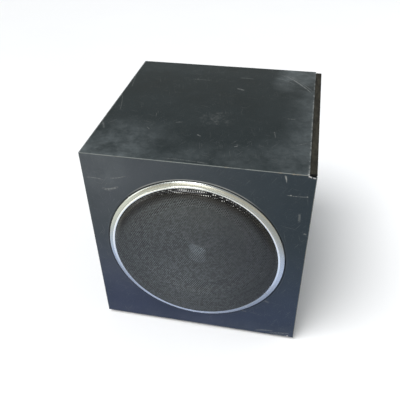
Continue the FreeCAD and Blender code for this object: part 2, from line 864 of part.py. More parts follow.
def amp_plate():
    """Steel plate that carries the sockets and controls, on a foam gasket."""
    piece = body("amp_plate")
    pad_deep(piece, [rectangle(*plate_rectangle())], PLATE_INNER, PLATE_OUTER)
    half = f"({SWITCH_HALF_WIDTH} + snug_gap)"
    tall = "(switch_height / 2 + snug_gap)"
    rocker = rectangle(f"rocker_place - {half}", f"rocker_place + {half}",
                       f"power_height - {tall}", f"power_height + {tall}")
    half = "(inlet_width / 2 + snug_gap)"
    tall = "(inlet_height / 2 + snug_gap)"
    inlet = rectangle(f"inlet_place - {half}", f"inlet_place + {half}",
                      f"power_height - {tall}", f"power_height + {tall}")
    cut(piece, "XZ_Plane", [rocker, inlet])
    cut(piece, "XZ_Plane", circles(plate_screw_places() + inlet_screw_places(), "screw_radius + hole_gap"))
    cut(piece, "XZ_Plane", circles(jack_places(), "jack_radius + hole_gap"))
    cut(piece, "XZ_Plane", [("knob_place", "controls_height", "bush_radius + snug_gap")])


def amp_gasket():
    piece = body("amp_gasket")
    loops = [rectangle(*plate_rectangle()), rectangle(*plate_rectangle("plate_border"))]
    holes = circles(plate_screw_places(), "screw_radius + hole_gap")
    pad_deep(piece, loops + holes, REAR_FACE, PLATE_INNER)


def rear_screws(name, places, seat, length):
    """Screws driven inward from the rear: heads outside the seat plane."""
    piece = body(name)
    pad_deep(piece, circles(places, "screw_head_radius"), seat, f"{seat} + screw_head_height")
    pad_deep(piece, circles(places, "screw_radius"), f"{seat} - {length}", seat)


def amp_plate_screws():
    shorter = "3"
    rear_screws("amp_plate_screws", plate_screw_places(), PLATE_OUTER, f"(screw_length - {shorter})")


def amp_chamber():
    """Tub that seals the amplifier from the air in the cabinet."""
    front = f"({REAR_INNER} - chamber_depth)"
    piece = body("amp_chamber")
    pad_deep(piece, [rectangle(*plate_rectangle("chamber_inset"))], front, REAR_INNER)
    hollow = rectangle(*plate_rectangle("chamber_inset + chamber_wall"))
    sink(piece, "XZ_Plane", [hollow], f"-({front} + chamber_wall)", "chamber_depth")
    cut(piece, "XZ_Plane", [(*WIRE_PLACE, "grommet_neck")])


WIRE_PLACE = ("knob_place + 4", "controls_height - 20")


def wire_grommet():
    """Rubber grommet in the chamber wall for the driver's wires."""
    x, z = WIRE_PLACE
    lip = "1.5"
    piece = body("wire_grommet", x, f"{REAR_INNER} - chamber_depth", z, BACKWARD)
    profile = [
        ("grommet_bore", f"-{lip}"),
        ("grommet_lip", f"-{lip}"),
        ("grommet_lip", "0"),
        ("grommet_neck", "0"),
        ("grommet_neck", "chamber_wall"),
        ("grommet_lip", "chamber_wall"),
        ("grommet_lip", f"chamber_wall + {lip}"),
        ("grommet_bore", f"chamber_wall + {lip}"),
    ]
    revolve(piece, profile)


def circuit_board():
    """Board parallel to the plate, on four spacers."""
    x_low, x_high, z_low, z_high = board_rectangle()
    back = board_back()
    piece = body("circuit_board")
    pad_deep(piece, [rectangle(x_low, x_high, z_low, z_high)], f"{back} - board_sheet", back)
    inset, spacer_radius = "4", "2.5"
    spacers = [(f"{x} {a} {inset}", f"{z} {b} {inset}") for x, a in ((x_low, "+"), (x_high, "-"))
               for z, b in ((z_low, "+"), (z_high, "-"))]
    pad_deep(body("board_spacers"), circles(spacers, spacer_radius), back, PLATE_INNER)


def board_rectangle():
    return ("-jack_pitch - 3", "plate_width / 2 - board_margin",
            "plate_middle - 5", f"{PLATE_HIGH} - board_margin")


def board_back():
    return f"({PLATE_INNER} - board_standoff)"


def filter_capacitors():
    z = "plate_middle + 6"
    places = [(f"knob_place - 20 - capacitor_pitch * {index}", z) for index in (0, 1)]
    front = f"({board_back()} - board_sheet)"
    pad_deep(body("filter_capacitors"), circles(places, "capacitor_radius"),
             f"{front} - capacitor_length", front)


def heat_sink():
    """Aluminium extrusion on the inner face of the plate, fins inward, with two chips."""
    left = "(-plate_width / 2 + board_margin)"
    right = "(-jack_pitch - 8)"
    root = f"({PLATE_INNER} - sink_base)"
    outline = [(left, PLATE_INNER), (right, PLATE_INNER), (right, root)]
    for index in reversed(range(FINS)):
        fin = f"({left} + fin_pitch * {index})"
        outline.append((f"{fin} + fin_sheet", root))
        outline.append((f"{fin} + fin_sheet", f"{root} - fin_depth"))
        outline.append((fin, f"{root} - fin_depth"))
        if index:
            outline.append((fin, root))
    piece = body("heat_sink")
    pad(piece, "XY_Plane", [outline], "plate_middle - 5", f"{PLATE_HIGH} - 18")
    chip_right = f"({right} - fin_sheet)"
    chips = [rectangle(f"{chip_right} - chip_width", chip_right, z, f"{z} + chip_height")
             for z in ("plate_middle", "plate_middle + chip_height + 7")]
    pad_deep(body("amplifier_chips"), chips, f"{root} - chip_depth", root)


def transformer():
    """Laminated core, bobbin winding around its middle leg, and a strap that holds it down."""
    middle = "(-plate_width / 4)"
    floor = CHAMBER_FLOOR
    depth = f"({REAR_INNER} - chamber_depth / 2)"
    left = f"({middle} - core_width / 2)"
    right = f"({middle} + core_width / 2)"
    top = f"({floor} + core_height)"
    window_low = f"({floor} + core_window)"
    window_high = f"({top} - core_window)"
    leg_left = f"({middle} - core_leg / 2)"
    leg_right = f"({middle} + core_leg / 2)"
    frame = [
        rectangle(left, right, floor, top),
        rectangle(f"{leg_left} - core_window", leg_left, window_low, window_high),
        rectangle(leg_right, f"{leg_right} + core_window", window_low, window_high),
    ]
    pad_deep(body("transformer_core"), frame, f"{depth} - core_depth / 2", f"{depth} + core_depth / 2")
    outer = rectangle(f"{middle} - winding_width / 2", f"{middle} + winding_width / 2",
                      f"{depth} - winding_depth / 2", f"{depth} + winding_depth / 2")
    inner = rectangle(f"{leg_left} - fit_gap", f"{leg_right} + fit_gap",
                      f"{depth} - core_depth / 2 - fit_gap", f"{depth} + core_depth / 2 + fit_gap")
    pad(body("transformer_winding"), "XY_Plane", [outer, inner],
        f"{window_low} + hole_gap", f"{window_high} - hole_gap")
    ankle = f"({floor} + strap_sheet)"
    profile = [
        (f"{left} - strap_foot", floor),
        (left, floor),
        (left, top),
        (right, top),
        (right, floor),
        (f"{right} + strap_foot", floor),
        (f"{right} + strap_foot", ankle),
        (f"{right} + strap_sheet", ankle),
        (f"{right} + strap_sheet", f"{top} + strap_sheet"),
        (f"{left} - strap_sheet", f"{top} + strap_sheet"),
        (f"{left} - strap_sheet", ankle),
        (f"{left} - strap_foot", ankle),
    ]
    pad_deep(body("transformer_strap"), [profile], f"{depth} - strap_width / 2",
             f"{depth} + strap_width / 2")


def phono_jacks():
    """Two pairs of phono sockets: one moulded block, metal shells and coloured inserts."""
    half = "(jack_pitch / 2 + jack_block_margin)"
    block = rectangle(f"jack_place - {half}", f"jack_place + {half}",
                      f"controls_height - {half}", f"controls_height + {half}")
    pad_deep(body("jack_block"), [block], board_back(), PLATE_INNER)
    end = f"{PLATE_OUTER} + jack_length"
    shells = body("jack_shells")
    pad_deep(shells, circles(jack_places(), "jack_radius"), PLATE_OUTER, end)
    cut(shells, "XZ_Plane", circles(jack_places(), "jack_radius - jack_wall"))
    places = jack_places()
    set_back = "1"
    for name, group in (("jack_inserts_red", places[0::2]), ("jack_inserts_white", places[1::2])):
        inserts = body(name)
        pad_deep(inserts, circles(group, "jack_radius - jack_wall"), PLATE_INNER, f"{end} - {set_back}")
        sink(inserts, "XZ_Plane", circles(group, "jack_bore"), f"-({PLATE_OUTER})", "jack_length")


def inlet_screw_places():
    return [(f"inlet_place {side} inlet_screw_pitch / 2", "power_height") for side in "+-"]


def mains_inlet():
    """Three-pole mains socket: flange outside the plate, shrouded blades."""
    half = "(inlet_width / 2)"
    tall = "(inlet_height / 2)"
    piece = body("mains_inlet")
    shell = rectangle(f"inlet_place - {half}", f"inlet_place + {half}", f"power_height - {tall}",
                      f"power_height + {tall}")
    pad_deep(piece, [shell], f"{PLATE_OUTER} - inlet_depth", PLATE_OUTER)
    flange = rectangle("inlet_place - inlet_flange_width / 2", "inlet_place + inlet_flange_width / 2",
                       f"power_height - {tall} - inlet_rim", f"power_height + {tall} + inlet_rim")
    outside = f"({PLATE_OUTER} + inlet_flange)"
    pad_deep(piece, [flange], PLATE_OUTER, outside)
    cut(piece, "XZ_Plane", circles(inlet_screw_places(), "screw_radius + hole_gap"))
    left, right = "(inlet_place - socket_width / 2)", "(inlet_place + socket_width / 2)"
    low, high = "(power_height - socket_height / 2)", "(power_height + socket_height / 2)"
    mouth = [
        (left, low),
        (right, low),
        (right, f"{high} - socket_corner"),
        (f"{right} - socket_corner", high),
        (f"{left} + socket_corner", high),
        (left, f"{high} - socket_corner"),
    ]
    floor = f"({outside} - socket_depth)"
    sink(piece, "XZ_Plane", [mouth], f"-{floor}", "socket_depth + 1")
    blades = []
    for x, z in (("-blade_pitch", "-blade_offset"), ("0", "blade_offset"), ("blade_pitch", "-blade_offset")):
        blades.append(rectangle(f"inlet_place + {x} - blade_width / 2",
                                f"inlet_place + {x} + blade_width / 2",
                                f"power_height + {z} - blade_height / 2",
                                f"power_height + {z} + blade_height / 2"))
    shroud, thread = "2", "8"
    pad_deep(body("inlet_blades"), blades, floor, f"{outside} - {shroud}")
    rear_screws("inlet_screws", inlet_screw_places(), outside, thread)


def rocker_switch():
    """Power switch: a housing through the plate and a paddle that tips on two pins."""
    pivot = f"({PLATE_OUTER} - rocker_pivot)"
    half = "(rocker_width / 2)"
    tall = "(switch_height / 2)"
    frame = body("switch_housing", "rocker_place", pivot, "power_height")
    shell = rectangle(f"-{SWITCH_HALF_WIDTH}", SWITCH_HALF_WIDTH, f"-{tall}", tall)
    pad_deep(frame, [shell], "-switch_depth", "rocker_pivot")
    rim = "1.3"
    flange = rectangle(f"-{SWITCH_HALF_WIDTH} - {rim}", f"{SWITCH_HALF_WIDTH} + {rim}",
                       f"-{tall} - {rim}", f"{tall} + {rim}")
    pad_deep(frame, [flange], "rocker_pivot", "rocker_pivot + switch_flange")
    opening = f"({half} + fit_gap)"
    reach = f"({tall} - switch_wall - snug_gap)"
    mouth = rectangle(f"-{opening}", opening, f"-{reach}", reach)
    floor = "7"
    sink(frame, "XZ_Plane", [mouth], floor, "switch_depth - rocker_pivot")
    cut(frame, "YZ_Plane", [("0", "0", "rocker_pin + running_gap")])
    paddle = body("power_rocker", "rocker_place", pivot, "power_height",
                  FreeCAD.Rotation(V(1, 0, 0), size("rocker_tilt")))
    tip_out, tip_up, waist, shoulder = "5.6", "7", "4.2", "7.3"
    heel_in, heel_up, shoulder_in = "5", "2", "2"
    side = [
        (tip_out, f"-{tip_up}"),
        (waist, "0"),
        (tip_out, tip_up),
        (f"-{shoulder_in}", shoulder),
        (f"-{heel_in}", heel_up),
        (f"-{heel_in}", f"-{heel_up}"),
        (f"-{shoulder_in}", f"-{shoulder}"),
    ]
    pad(paddle, "YZ_Plane", [side], f"-{half}", half)
    pin_reach = f"({half} + switch_wall - fit_gap)"
    pad(paddle, "YZ_Plane", [("0", "0", "rocker_pin")], f"-{pin_reach}", pin_reach)


def level_control():
    """Potentiometer with a threaded bush, its nut, its shaft and the knob."""
    def at_plate(name):
        return body(name, "knob_place", PLATE_INNER, "controls_height", BACKWARD)

    bore = "shaft_radius + running_gap"
    floor = "-control_depth + control_floor"
    case = [
        ("0", "-control_depth"),
        ("knob_radius", "-control_depth"),
        ("knob_radius", "0"),
        ("bush_radius", "0"),
        ("bush_radius", "bush_length"),
        (bore, "bush_length"),
        (bore, floor),
        ("0", floor),
    ]
    revolve(at_plate("level_control"), case)
    nut_corners = ring_of(6, "bush_radius + 2")
    pad(at_plate("level_nut"), "XY_Plane", [nut_corners, ("0", "0", "bush_radius")],
        "plate_sheet", "plate_sheet + nut_height")
    base = "(plate_sheet + knob_lift)"
    tip = f"({base} + knob_length)"
    ceiling = f"{tip} - knob_cap"
    revolve(at_plate("level_shaft"), tube("0", "shaft_radius", f"{floor} + snug_gap", ceiling))
    socket = "(bush_length + 0.5)"
    skirt = "(knob_radius - 2)"
    taper = "0.6"
    knob = at_plate("level_knob")
    profile = [
        (skirt, base),
        ("knob_radius", base),
        (f"knob_radius - {taper}", f"{tip} - nose_round"),
        (f"knob_radius - {taper} - nose_round", tip, "knob_lift", "left"),
        ("0", tip),
        ("0", ceiling),
        ("shaft_radius", ceiling),
        ("shaft_radius", socket),
        (skirt, socket),
    ]
    revolve(knob, profile)
    flute_radius = "0.9"
    around(knob, cut(knob, "XY_Plane", [("knob_radius + fit_gap", "0", flute_radius)]), FLUTES)


def speaker_wires():
    """The pair from the circuit board through the grommet to the tag board."""
    x, z = WIRE_PLACE
    wall = f"({REAR_INNER} - chamber_depth)"
    back = f"({FLANGE} + shelf_depth)"
    wire_radius = "1"
    paths = []
    for offset in (-1.4, 1.4):
        spread = offset * 3
        paths.append([
            (f"{x} + {offset}", f"{board_back()} - 3", f"{z} + 4"),
            (f"{x} + {offset}", f"{wall} + 20", z),
            (f"{x} + {offset}", f"{wall} - 8", z),
            (f"{x} + 8 + {offset}", "0", f"{z} + 12"),
            (f"shelf_radius + 8 + {spread}", f"{back} + 24", f"driver_height + {spread}"),
            ("shelf_radius + 4 + driver_offset", f"{back} + 8", f"driver_height + {spread}"),
        ])
    swept_wires("speaker_wires", paths, wire_radius)


BUILDERS = [
    front_baffle, top_panel, bottom_panel, left_side_panel, right_side_panel, baffle_liner,
    driver_board, rear_panel, corner_battens, damping_pads, rubber_feet, foot_screws,
    trim_ring, grille, grille_gasket,
    driver_gasket, driver_basket, driver_screws, surround, cone, dust_cap, coil_former,
    voice_coil, spider, motor, terminal_strip, tinsel_leads,
    port_tube,
    amp_plate, amp_gasket, amp_plate_screws, amp_chamber, wire_grommet, circuit_board,
    filter_capacitors, heat_sink, transformer, phono_jacks, mains_inlet, rocker_switch,
    level_control, speaker_wires,
]


def check_document():
    """Stop on any failed object or sub-part."""
    for item in doc.Objects:
        if "Invalid" in item.State or "Error" in item.State:
            raise RuntimeError(f"{item.Name} failed: {item.State}")
    for piece in subparts:
        if piece.Shape.isNull() or not piece.Shape.isValid() or not piece.Shape.Solids:
            raise RuntimeError(f"{piece.Label} has no valid shape")


for build in BUILDERS:
    build()
doc.recompute()
check_document()
os.makedirs("parts", exist_ok=True)
for piece in subparts:
    piece.Shape.exportStep(f"parts/{piece.Label}.step")
print(len(subparts), "sub-parts written")
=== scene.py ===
import json
import math
from contextlib import contextmanager
import bmesh
import bpy
import numpy as np
from mathutils import Matrix, Vector


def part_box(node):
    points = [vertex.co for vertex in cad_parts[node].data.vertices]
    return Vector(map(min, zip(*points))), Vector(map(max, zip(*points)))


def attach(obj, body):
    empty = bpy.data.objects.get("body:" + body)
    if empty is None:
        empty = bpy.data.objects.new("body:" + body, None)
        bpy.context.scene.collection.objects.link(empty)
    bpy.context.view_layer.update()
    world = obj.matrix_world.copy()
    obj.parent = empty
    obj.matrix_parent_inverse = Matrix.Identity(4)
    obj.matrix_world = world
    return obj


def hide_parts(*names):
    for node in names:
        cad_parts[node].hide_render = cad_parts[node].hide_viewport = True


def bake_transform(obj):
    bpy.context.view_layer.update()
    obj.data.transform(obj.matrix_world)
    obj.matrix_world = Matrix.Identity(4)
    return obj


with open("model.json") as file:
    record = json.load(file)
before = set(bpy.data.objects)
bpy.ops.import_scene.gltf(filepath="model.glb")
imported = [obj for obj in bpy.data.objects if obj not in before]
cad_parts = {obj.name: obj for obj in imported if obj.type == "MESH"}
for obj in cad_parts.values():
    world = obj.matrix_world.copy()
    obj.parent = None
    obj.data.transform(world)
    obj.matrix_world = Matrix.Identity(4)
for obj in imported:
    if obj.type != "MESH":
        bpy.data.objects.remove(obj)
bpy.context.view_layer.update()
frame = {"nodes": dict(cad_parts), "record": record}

MM = 0.001
BODY = "cabinet"

# Places in metres, from the frame.
CABINET_LOW, CABINET_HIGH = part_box("front_baffle")
FRONT = CABINET_LOW.y
LEFT, RIGHT = CABINET_LOW.x, CABINET_HIGH.x
BOTTOM, TOP = CABINET_LOW.z, CABINET_HIGH.z
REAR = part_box("left_side_panel")[1].y
RING_LOW, RING_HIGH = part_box("trim_ring")
AXIS = Vector(((RING_LOW.x + RING_HIGH.x) / 2, FRONT, (RING_LOW.z + RING_HIGH.z) / 2))
BOARD = CABINET_HIGH.y - FRONT
SIDE_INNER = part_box("right_side_panel")[0].x

# The ring and its opening, as radii in millimetres, and how far the ring stands proud.
RING_OUTER = (RING_HIGH.x - RING_LOW.x) / 2 / MM
PROUD = (FRONT - RING_LOW.y) / MM
MOUTH = RING_OUTER - 8.85
SEAT = RING_OUTER + 1.05
SLEEVE = 111
THROUGH = SLEEVE + 2


# ---- shader building -------------------------------------------------------------------------

class Value:
    """A number or a colour that a node gives. Arithmetic on it adds math nodes."""

    def __init__(self, shader, socket):
        self.shader = shader
        self.socket = socket

    def __add__(self, other):
        return self.shader.math("ADD", self, other)

    def __sub__(self, other):
        return self.shader.math("SUBTRACT", self, other)

    def __rsub__(self, other):
        return self.shader.math("SUBTRACT", other, self)

    def __mul__(self, other):
        return self.shader.math("MULTIPLY", self, other)

    def __truediv__(self, other):
        return self.shader.math("DIVIDE", self, other)

    def __abs__(self):
        return self.shader.math("ABSOLUTE", self)

    def root(self):
        return self.shader.math("SQRT", self)

    def sine(self):
        return self.shader.math("SINE", self)


def largest(first, *others):
    for other in others:
        first = first.shader.math("MAXIMUM", first, other)
    return first


def smallest(first, *others):
    for other in others:
        first = first.shader.math("MINIMUM", first, other)
    return first


class Shader:
    """The node tree of a material or a world, with one short call per node."""

    def __init__(self, name, owners=bpy.data.materials):
        self.owner = owners.new(name)
        self.owner.use_nodes = True
        self.tree = self.owner.node_tree
        self.tree.nodes.clear()
        self.place = self.node("ShaderNodeTexCoord").outputs["Object"]
        self.shared = {}

    def node(self, kind, **settings):
        made = self.tree.nodes.new(kind)
        for key, value in settings.items():
            setattr(made, key, value)
        return made

    def feed(self, socket, value):
        """Set a socket from a Value, another socket or a plain value."""
        if isinstance(value, Value):
            value = value.socket
        if isinstance(value, bpy.types.NodeSocket):
            self.tree.links.new(value, socket)
        elif value is not None:
            if socket.type == "RGBA" and len(value) == 3:
                value = (*value, 1)
            socket.default_value = value

    def math(self, operation, a, b=None, c=None, clamp=False):
        made = self.node("ShaderNodeMath", operation=operation, use_clamp=clamp)
        for socket, value in zip(made.inputs, (a, b, c)):
            self.feed(socket, value)
        return Value(self, made.outputs[0])

    def axes(self, vector=None):
        """The three parts of a vector, or of the place."""
        if vector is None and "axes" in self.shared:
            return self.shared["axes"]
        made = self.node("ShaderNodeSeparateXYZ")
        self.feed(made.inputs[0], self.place if vector is None else vector)
        parts = [Value(self, output) for output in made.outputs]
        if vector is None:
            self.shared["axes"] = parts
        return parts

    def wobble(self):
        """One noise that every scratch of a material shares."""
        if "wobble" not in self.shared:
            self.shared["wobble"] = self.noise(150, 3, 0.6)
        return self.shared["wobble"]

    def crumbs(self):
        """A finer shared noise, which breaks scratches up."""
        if "crumbs" not in self.shared:
            self.shared["crumbs"] = self.noise(520, 3, 0.7)
        return self.shared["crumbs"]

    def stretch(self, x, y, z):
        """The place, scaled along each axis."""
        made = self.node("ShaderNodeVectorMath", operation="MULTIPLY")
        self.feed(made.inputs[0], self.place)
        self.feed(made.inputs[1], (x, y, z))
        return made.outputs[0]

    def noise(self, scale, detail=3, rough=0.5, vector=None, distortion=0):
        made = self.node("ShaderNodeTexNoise")
        self.feed(made.inputs["Vector"], self.place if vector is None else vector)
        made.inputs["Scale"].default_value = scale
        made.inputs["Detail"].default_value = detail
        made.inputs["Roughness"].default_value = rough
        made.inputs["Distortion"].default_value = distortion
        return Value(self, made.outputs["Fac"])

    def cells(self, scale, feature="F1", randomness=1):
        made = self.node("ShaderNodeTexVoronoi", feature=feature)
        self.feed(made.inputs["Vector"], self.place)
        made.inputs["Scale"].default_value = scale
        made.inputs["Randomness"].default_value = randomness
        return Value(self, made.outputs["Distance"])

    def step(self, value, low, high, start=0, end=1):
        """A smooth step of value from start to end, as value goes from low to high."""
        made = self.node("ShaderNodeMapRange", interpolation_type="SMOOTHSTEP")
        for index, number in enumerate((value, low, high, start, end)):
            self.feed(made.inputs[index], number)
        return Value(self, made.outputs[0])

    def ramp(self, value, low, high, start=0, end=1):
        """A smooth step whose low and high are in millimetres."""
        return self.step(value, low * MM, high * MM, start, end)

    def mix(self, share, a, b, mode="MIX"):
        made = self.node("ShaderNodeMix", data_type="RGBA", blend_type=mode)
        self.feed(made.inputs[0], share)
        self.feed(made.inputs[6], a)
        self.feed(made.inputs[7], b)
        return Value(self, made.outputs[2])

    def bump(self, height, distance, strength=1, under=None):
        made = self.node("ShaderNodeBump")
        self.feed(made.inputs["Height"], height)
        made.inputs["Distance"].default_value = distance
        made.inputs["Strength"].default_value = strength
        self.feed(made.inputs["Normal"], under)
        return made.outputs[0]

    def surface(self, color, rough, normal=None, metallic=0, **extra):
        made = self.node("ShaderNodeBsdfPrincipled")
        self.feed(made.inputs["Base Color"], color)
        self.feed(made.inputs["Roughness"], rough)
        self.feed(made.inputs["Normal"], normal)
        self.feed(made.inputs["Metallic"], metallic)
        for key, value in extra.items():
            self.feed(made.inputs[key.replace("_", " ")], value)
        self.feed(self.node("ShaderNodeOutputMaterial").inputs[0], made.outputs[0])
        return self.owner


def gray(value, tint=(1, 1, 1)):
    return tuple(value * share for share in tint)


# ---- materials -------------------------------------------------------------------------------

WORN = (0.165, 0.18, 0.172)
BRUISED = (0.17, 0.15, 0.115)
BOARD_EDGE = (0.024, 0.022, 0.016)


def edge_distance(shader):
    """Distance along the surface to the cabinet's nearest outer edge: the middle one of the
    distances to its three pairs of faces."""
    x, y, z = shader.axes()
    height = (TOP - BOTTOM) / 2
    aside, behind, above = RIGHT - abs(x), REAR - abs(y), height - abs(z - (BOTTOM + height))
    return largest(smallest(aside, behind), smallest(largest(aside, behind), above))


def streak(shader, plane, start, end, width, bow=0, strength=1, taper=1):
    """A scratch on a face, from start to end in millimetres. plane is the two axes it lies in,
    bow is how far its middle swings out, and taper is its end width over its start width."""
    across, along = (shader.axes()[index] for index in plane)
    start, end = (np.array(point) * MM for point in (start, end))
    run = end - start
    length = float(np.hypot(*run))
    ux, uy = (float(part) for part in run / length)
    behind = -float(start @ (ux, uy))
    aside = -float(start @ (-uy, ux))
    share = across * (ux / length) + along * (uy / length) + behind / length
    swing = share * (1 - share)
    off = along * ux + across * -uy + aside + swing * (-4 * bow * MM)
    off = abs(off + shader.wobble() * (0.8 * width * MM)) - 0.4 * width * MM
    wide = share * (width * (taper - 1) * MM) + width * MM
    line = shader.step(off / wide, 1, 0)
    inside = shader.step(swing, 0, 0.16)
    broken = shader.step(shader.crumbs(), 0.36, 0.58, 0.1 * strength, strength)
    return line * inside * broken


def spot(shader, plane, centre, radius, ragged=0.5):
    """A ragged round mark on a face, placed in millimetres."""
    across, along = (shader.axes()[index] for index in plane)
    dx, dy = across - centre[0] * MM, along - centre[1] * MM
    reach = (dx * dx + dy * dy).root()
    size = radius * MM
    wobble = shader.noise(0.9 / size, 3) * (size * ragged * 2) - size * ragged
    return shader.step(reach + wobble, size, size * 0.6)


def scuffs(shader, plane, turns):
    """Fine straight scratches over a face. turns lists their directions in degrees."""
    stretch, rare = 0.025, 0.66
    across, along = (shader.axes()[index] for index in plane)
    masks = []
    for number, turn in enumerate(turns):
        cos, sin = math.cos(math.radians(turn)), math.sin(math.radians(turn))
        u = across * cos + along * sin
        v = along * cos + across * -sin
        joined = shader.node("ShaderNodeCombineXYZ")
        shader.feed(joined.inputs[0], u)
        shader.feed(joined.inputs[1], v * stretch)
        joined.inputs[2].default_value = number
        lines = shader.noise(1500, 2, 0.5, joined.outputs[0])
        masks.append(shader.step(lines, rare, rare + 0.08))
    return largest(*masks)


def film(name, shade, haze, plane, marks=None, veil=None, raw_axis=None, layers=()):
    """Dark film on board: fine leathery grain, a pale haze, pale worn edges and scratches. The haze is
    dust in part and painted sheen in part. shade is a colour or makes one, haze is the haze's
    strength, plane is the two axes that the scratches lie in, marks makes single ones, and veil says
    where the haze lies. raw_axis is the axis whose positive faces show the bare board. layers lists (mask
    maker, colour) pairs."""
    shader = Shader(name)
    color = shade(shader) if callable(shade) else shade
    mottle = shader.noise(7, 4, 0.6)
    cloud = shader.noise(16, 8, 0.72)
    fine = shader.noise(90, 6, 0.75)
    dust = shader.step(shader.noise(800, 2, 0.6), 0.62, 0.76)
    base = shader.mix(shader.step(mottle, 0.3, 0.7), (0.80, 0.84, 0.86), (1.16, 1.12, 1.14))
    base = shader.mix(1, base, color, "MULTIPLY")
    gather = veil(shader) if veil else 0.3
    # Pale haze, dust in part and painted sheen in part, laid where the veil says.
    haze_and_sheen = shader.step(cloud, 0.24, 0.76) * gather * shader.step(fine, 0.3, 0.65, 0.6, 1)
    base = shader.mix(haze_and_sheen * haze, base, (0.15, 0.172, 0.18))
    lines = scuffs(shader, plane, (12, 78, -35))
    lines = lines * shader.step(shader.noise(11, 3), 0.42, 0.62, 0.1, 0.55)
    base = shader.mix(lines, base, gray(0.15, (1, 1.05, 1.05)))
    base = shader.mix(dust * 0.16, base, gray(0.18))
    edge = edge_distance(shader)
    line = shader.ramp(edge, 0.85, 0.55)
    line = line * shader.step(shader.noise(45, 4, 0.7), 0.3, 0.5, 0.45, 0.9)
    base = shader.mix(line, base, WORN)
    reach = shader.step(shader.noise(130, 4, 0.7), 0.45, 0.75) * (2.2 * MM)
    bites = shader.step(edge, reach, reach * 0.5)
    bites = bites * shader.step(shader.noise(24, 2), 0.52, 0.62, 0, 0.8)
    base = shader.mix(bites, base, BRUISED)
    worn = largest(line, bites, lines)
    if marks:
        scratched = largest(*marks(shader))
        base = shader.mix(scratched, base, gray(0.30, (0.97, 1, 0.97)))
        worn = largest(worn, scratched)
    rough = cloud * 0.25 + 0.35
    rough = shader.math("MULTIPLY_ADD", worn, 0.25, rough, clamp=True)
    grain = shader.cells(900, "SMOOTH_F1") + shader.noise(1600, 2)
    if raw_axis is not None:
        facing = shader.axes(shader.node("ShaderNodeNewGeometry").outputs["Normal"])[raw_axis]
        bare = shader.step(facing, 0.6, 0.8)
        fibres = shader.noise(190, 6, 0.75, shader.stretch(1, 0.25, 1))
        fibres = shader.step(fibres, 0.3, 0.7)
        board_edge = shader.mix(fibres, gray(0.35, BOARD_EDGE), gray(1.6, BOARD_EDGE))
        base = shader.mix(bare, base, board_edge)
        rough = largest(rough, bare * 0.85)
    for mask, paint in layers:
        base = shader.mix(mask(shader), base, paint)
    normal = shader.bump(grain, 0.05 * MM, 0.5)
    normal = shader.bump(worn, -0.08 * MM, 0.5, normal)
    return shader.surface(base, rough, normal, Specular_IOR_Level=0.25)


def top_marks(shader):
    """Long arcs toward the right rear, short strokes, chips and a smudge near the middle."""
    plane = (0, 1)
    strokes = [
        ((84, 121.5), (129, 61.5), 0.55, 3.5, 0.75),
        ((79, 121), (120, 74), 0.4, 4, 0.55),
        ((88, 123), (131, 66), 0.4, 3, 0.5),
        ((96, 117), (126, 83), 0.35, 2, 0.4),
        ((70, 108), (103, 88), 0.5, 4, 0.35),
        ((98, -14.5), (109, -15.5), 0.7, 0, 0.4),
        ((-44, -48.8), (-33, -46), 0.5, 0, 0.5),
        ((20, 100), (43, 98.5), 0.7, 1, 0.4),
        ((-52, 84), (-19, 83.5), 0.6, 1, 0.35),
        ((21, 64), (33, 59), 1.6, 0, 0.35),
        ((-9, -74), (-3, -77.5), 0.9, 0, 0.5),
        ((40, -95), (45, -92), 0.8, 0, 0.4),
        ((-137, -62), (-129, -79), 1.1, 0, 0.3),
        ((85, -50), (88, -66), 0.5, 0, 0.28),
        ((-76, -66), (-71, -72), 0.5, 0, 0.5),
        ((-139, 90), (-131, 40), 0.4, 0, 0.35),
        ((-138, 20), (-125, -30), 0.4, 1, 0.35),
        ((112, -80), (128, -70), 0.4, 0, 0.35),
        ((-40, -133), (20, -136), 0.5, 1, 0.4),
    ]
    masks = [streak(shader, plane, *stroke) for stroke in strokes]
    masks.append(spot(shader, plane, (130.3, -137.6), 1.4, 0.3))
    smudge = spot(shader, plane, (9, -36), 27, 0.9)
    fine = shader.step(shader.noise(140, 6, 0.75), 0.46, 0.74, 0, 0.17)
    masks.append(smudge * fine)
    right = shader.axes()[0]
    close = shader.step(right, SIDE_INNER - 2.6 * MM, SIDE_INNER - 0.6 * MM)
    masks.append(close * shader.step(shader.noise(170, 4, 0.7), 0.42, 0.6, 0, 0.5))
    left = shader.step(right, LEFT + 2.2 * MM, LEFT + 0.9 * MM)
    masks.append(left * shader.step(shader.noise(60, 3, 0.7), 0.3, 0.55, 0, 0.42))
    return masks


def top_haze_and_sheen(shader):
    """Where the haze lies, dust in part and painted sheen in part: along the front and right edges, in the
    near left corner and by the arcs.
    """
    x, y = shader.axes()[:2]
    front = shader.ramp(y, -70, -130, 0, 0.42)
    near = shader.ramp(y, -20, -105)
    corner = near * shader.ramp(x, 0, -95)
    near_right = near * shader.ramp(x, 45, 110, 0, 0.65)
    right = shader.ramp(x, 80, 130, 0, 0.7)
    behind = shader.ramp(y, 70, 120, 0, 0.15)
    arcs = shader.ramp(y, 50, 90) * shader.ramp(x, 60, 100)
    return largest(front, corner, near_right, right, behind, arcs, 0.08)


def from_axis(shader):
    """How far east of the ring's axis, toward the right, and how far above it."""
    x, _, z = shader.axes()
    return x - AXIS.x, z - AXIS.z


def ring_reach(shader):
    """Distance from the ring's axis."""
    east, up = from_axis(shader)
    return (east * east + up * up).root()


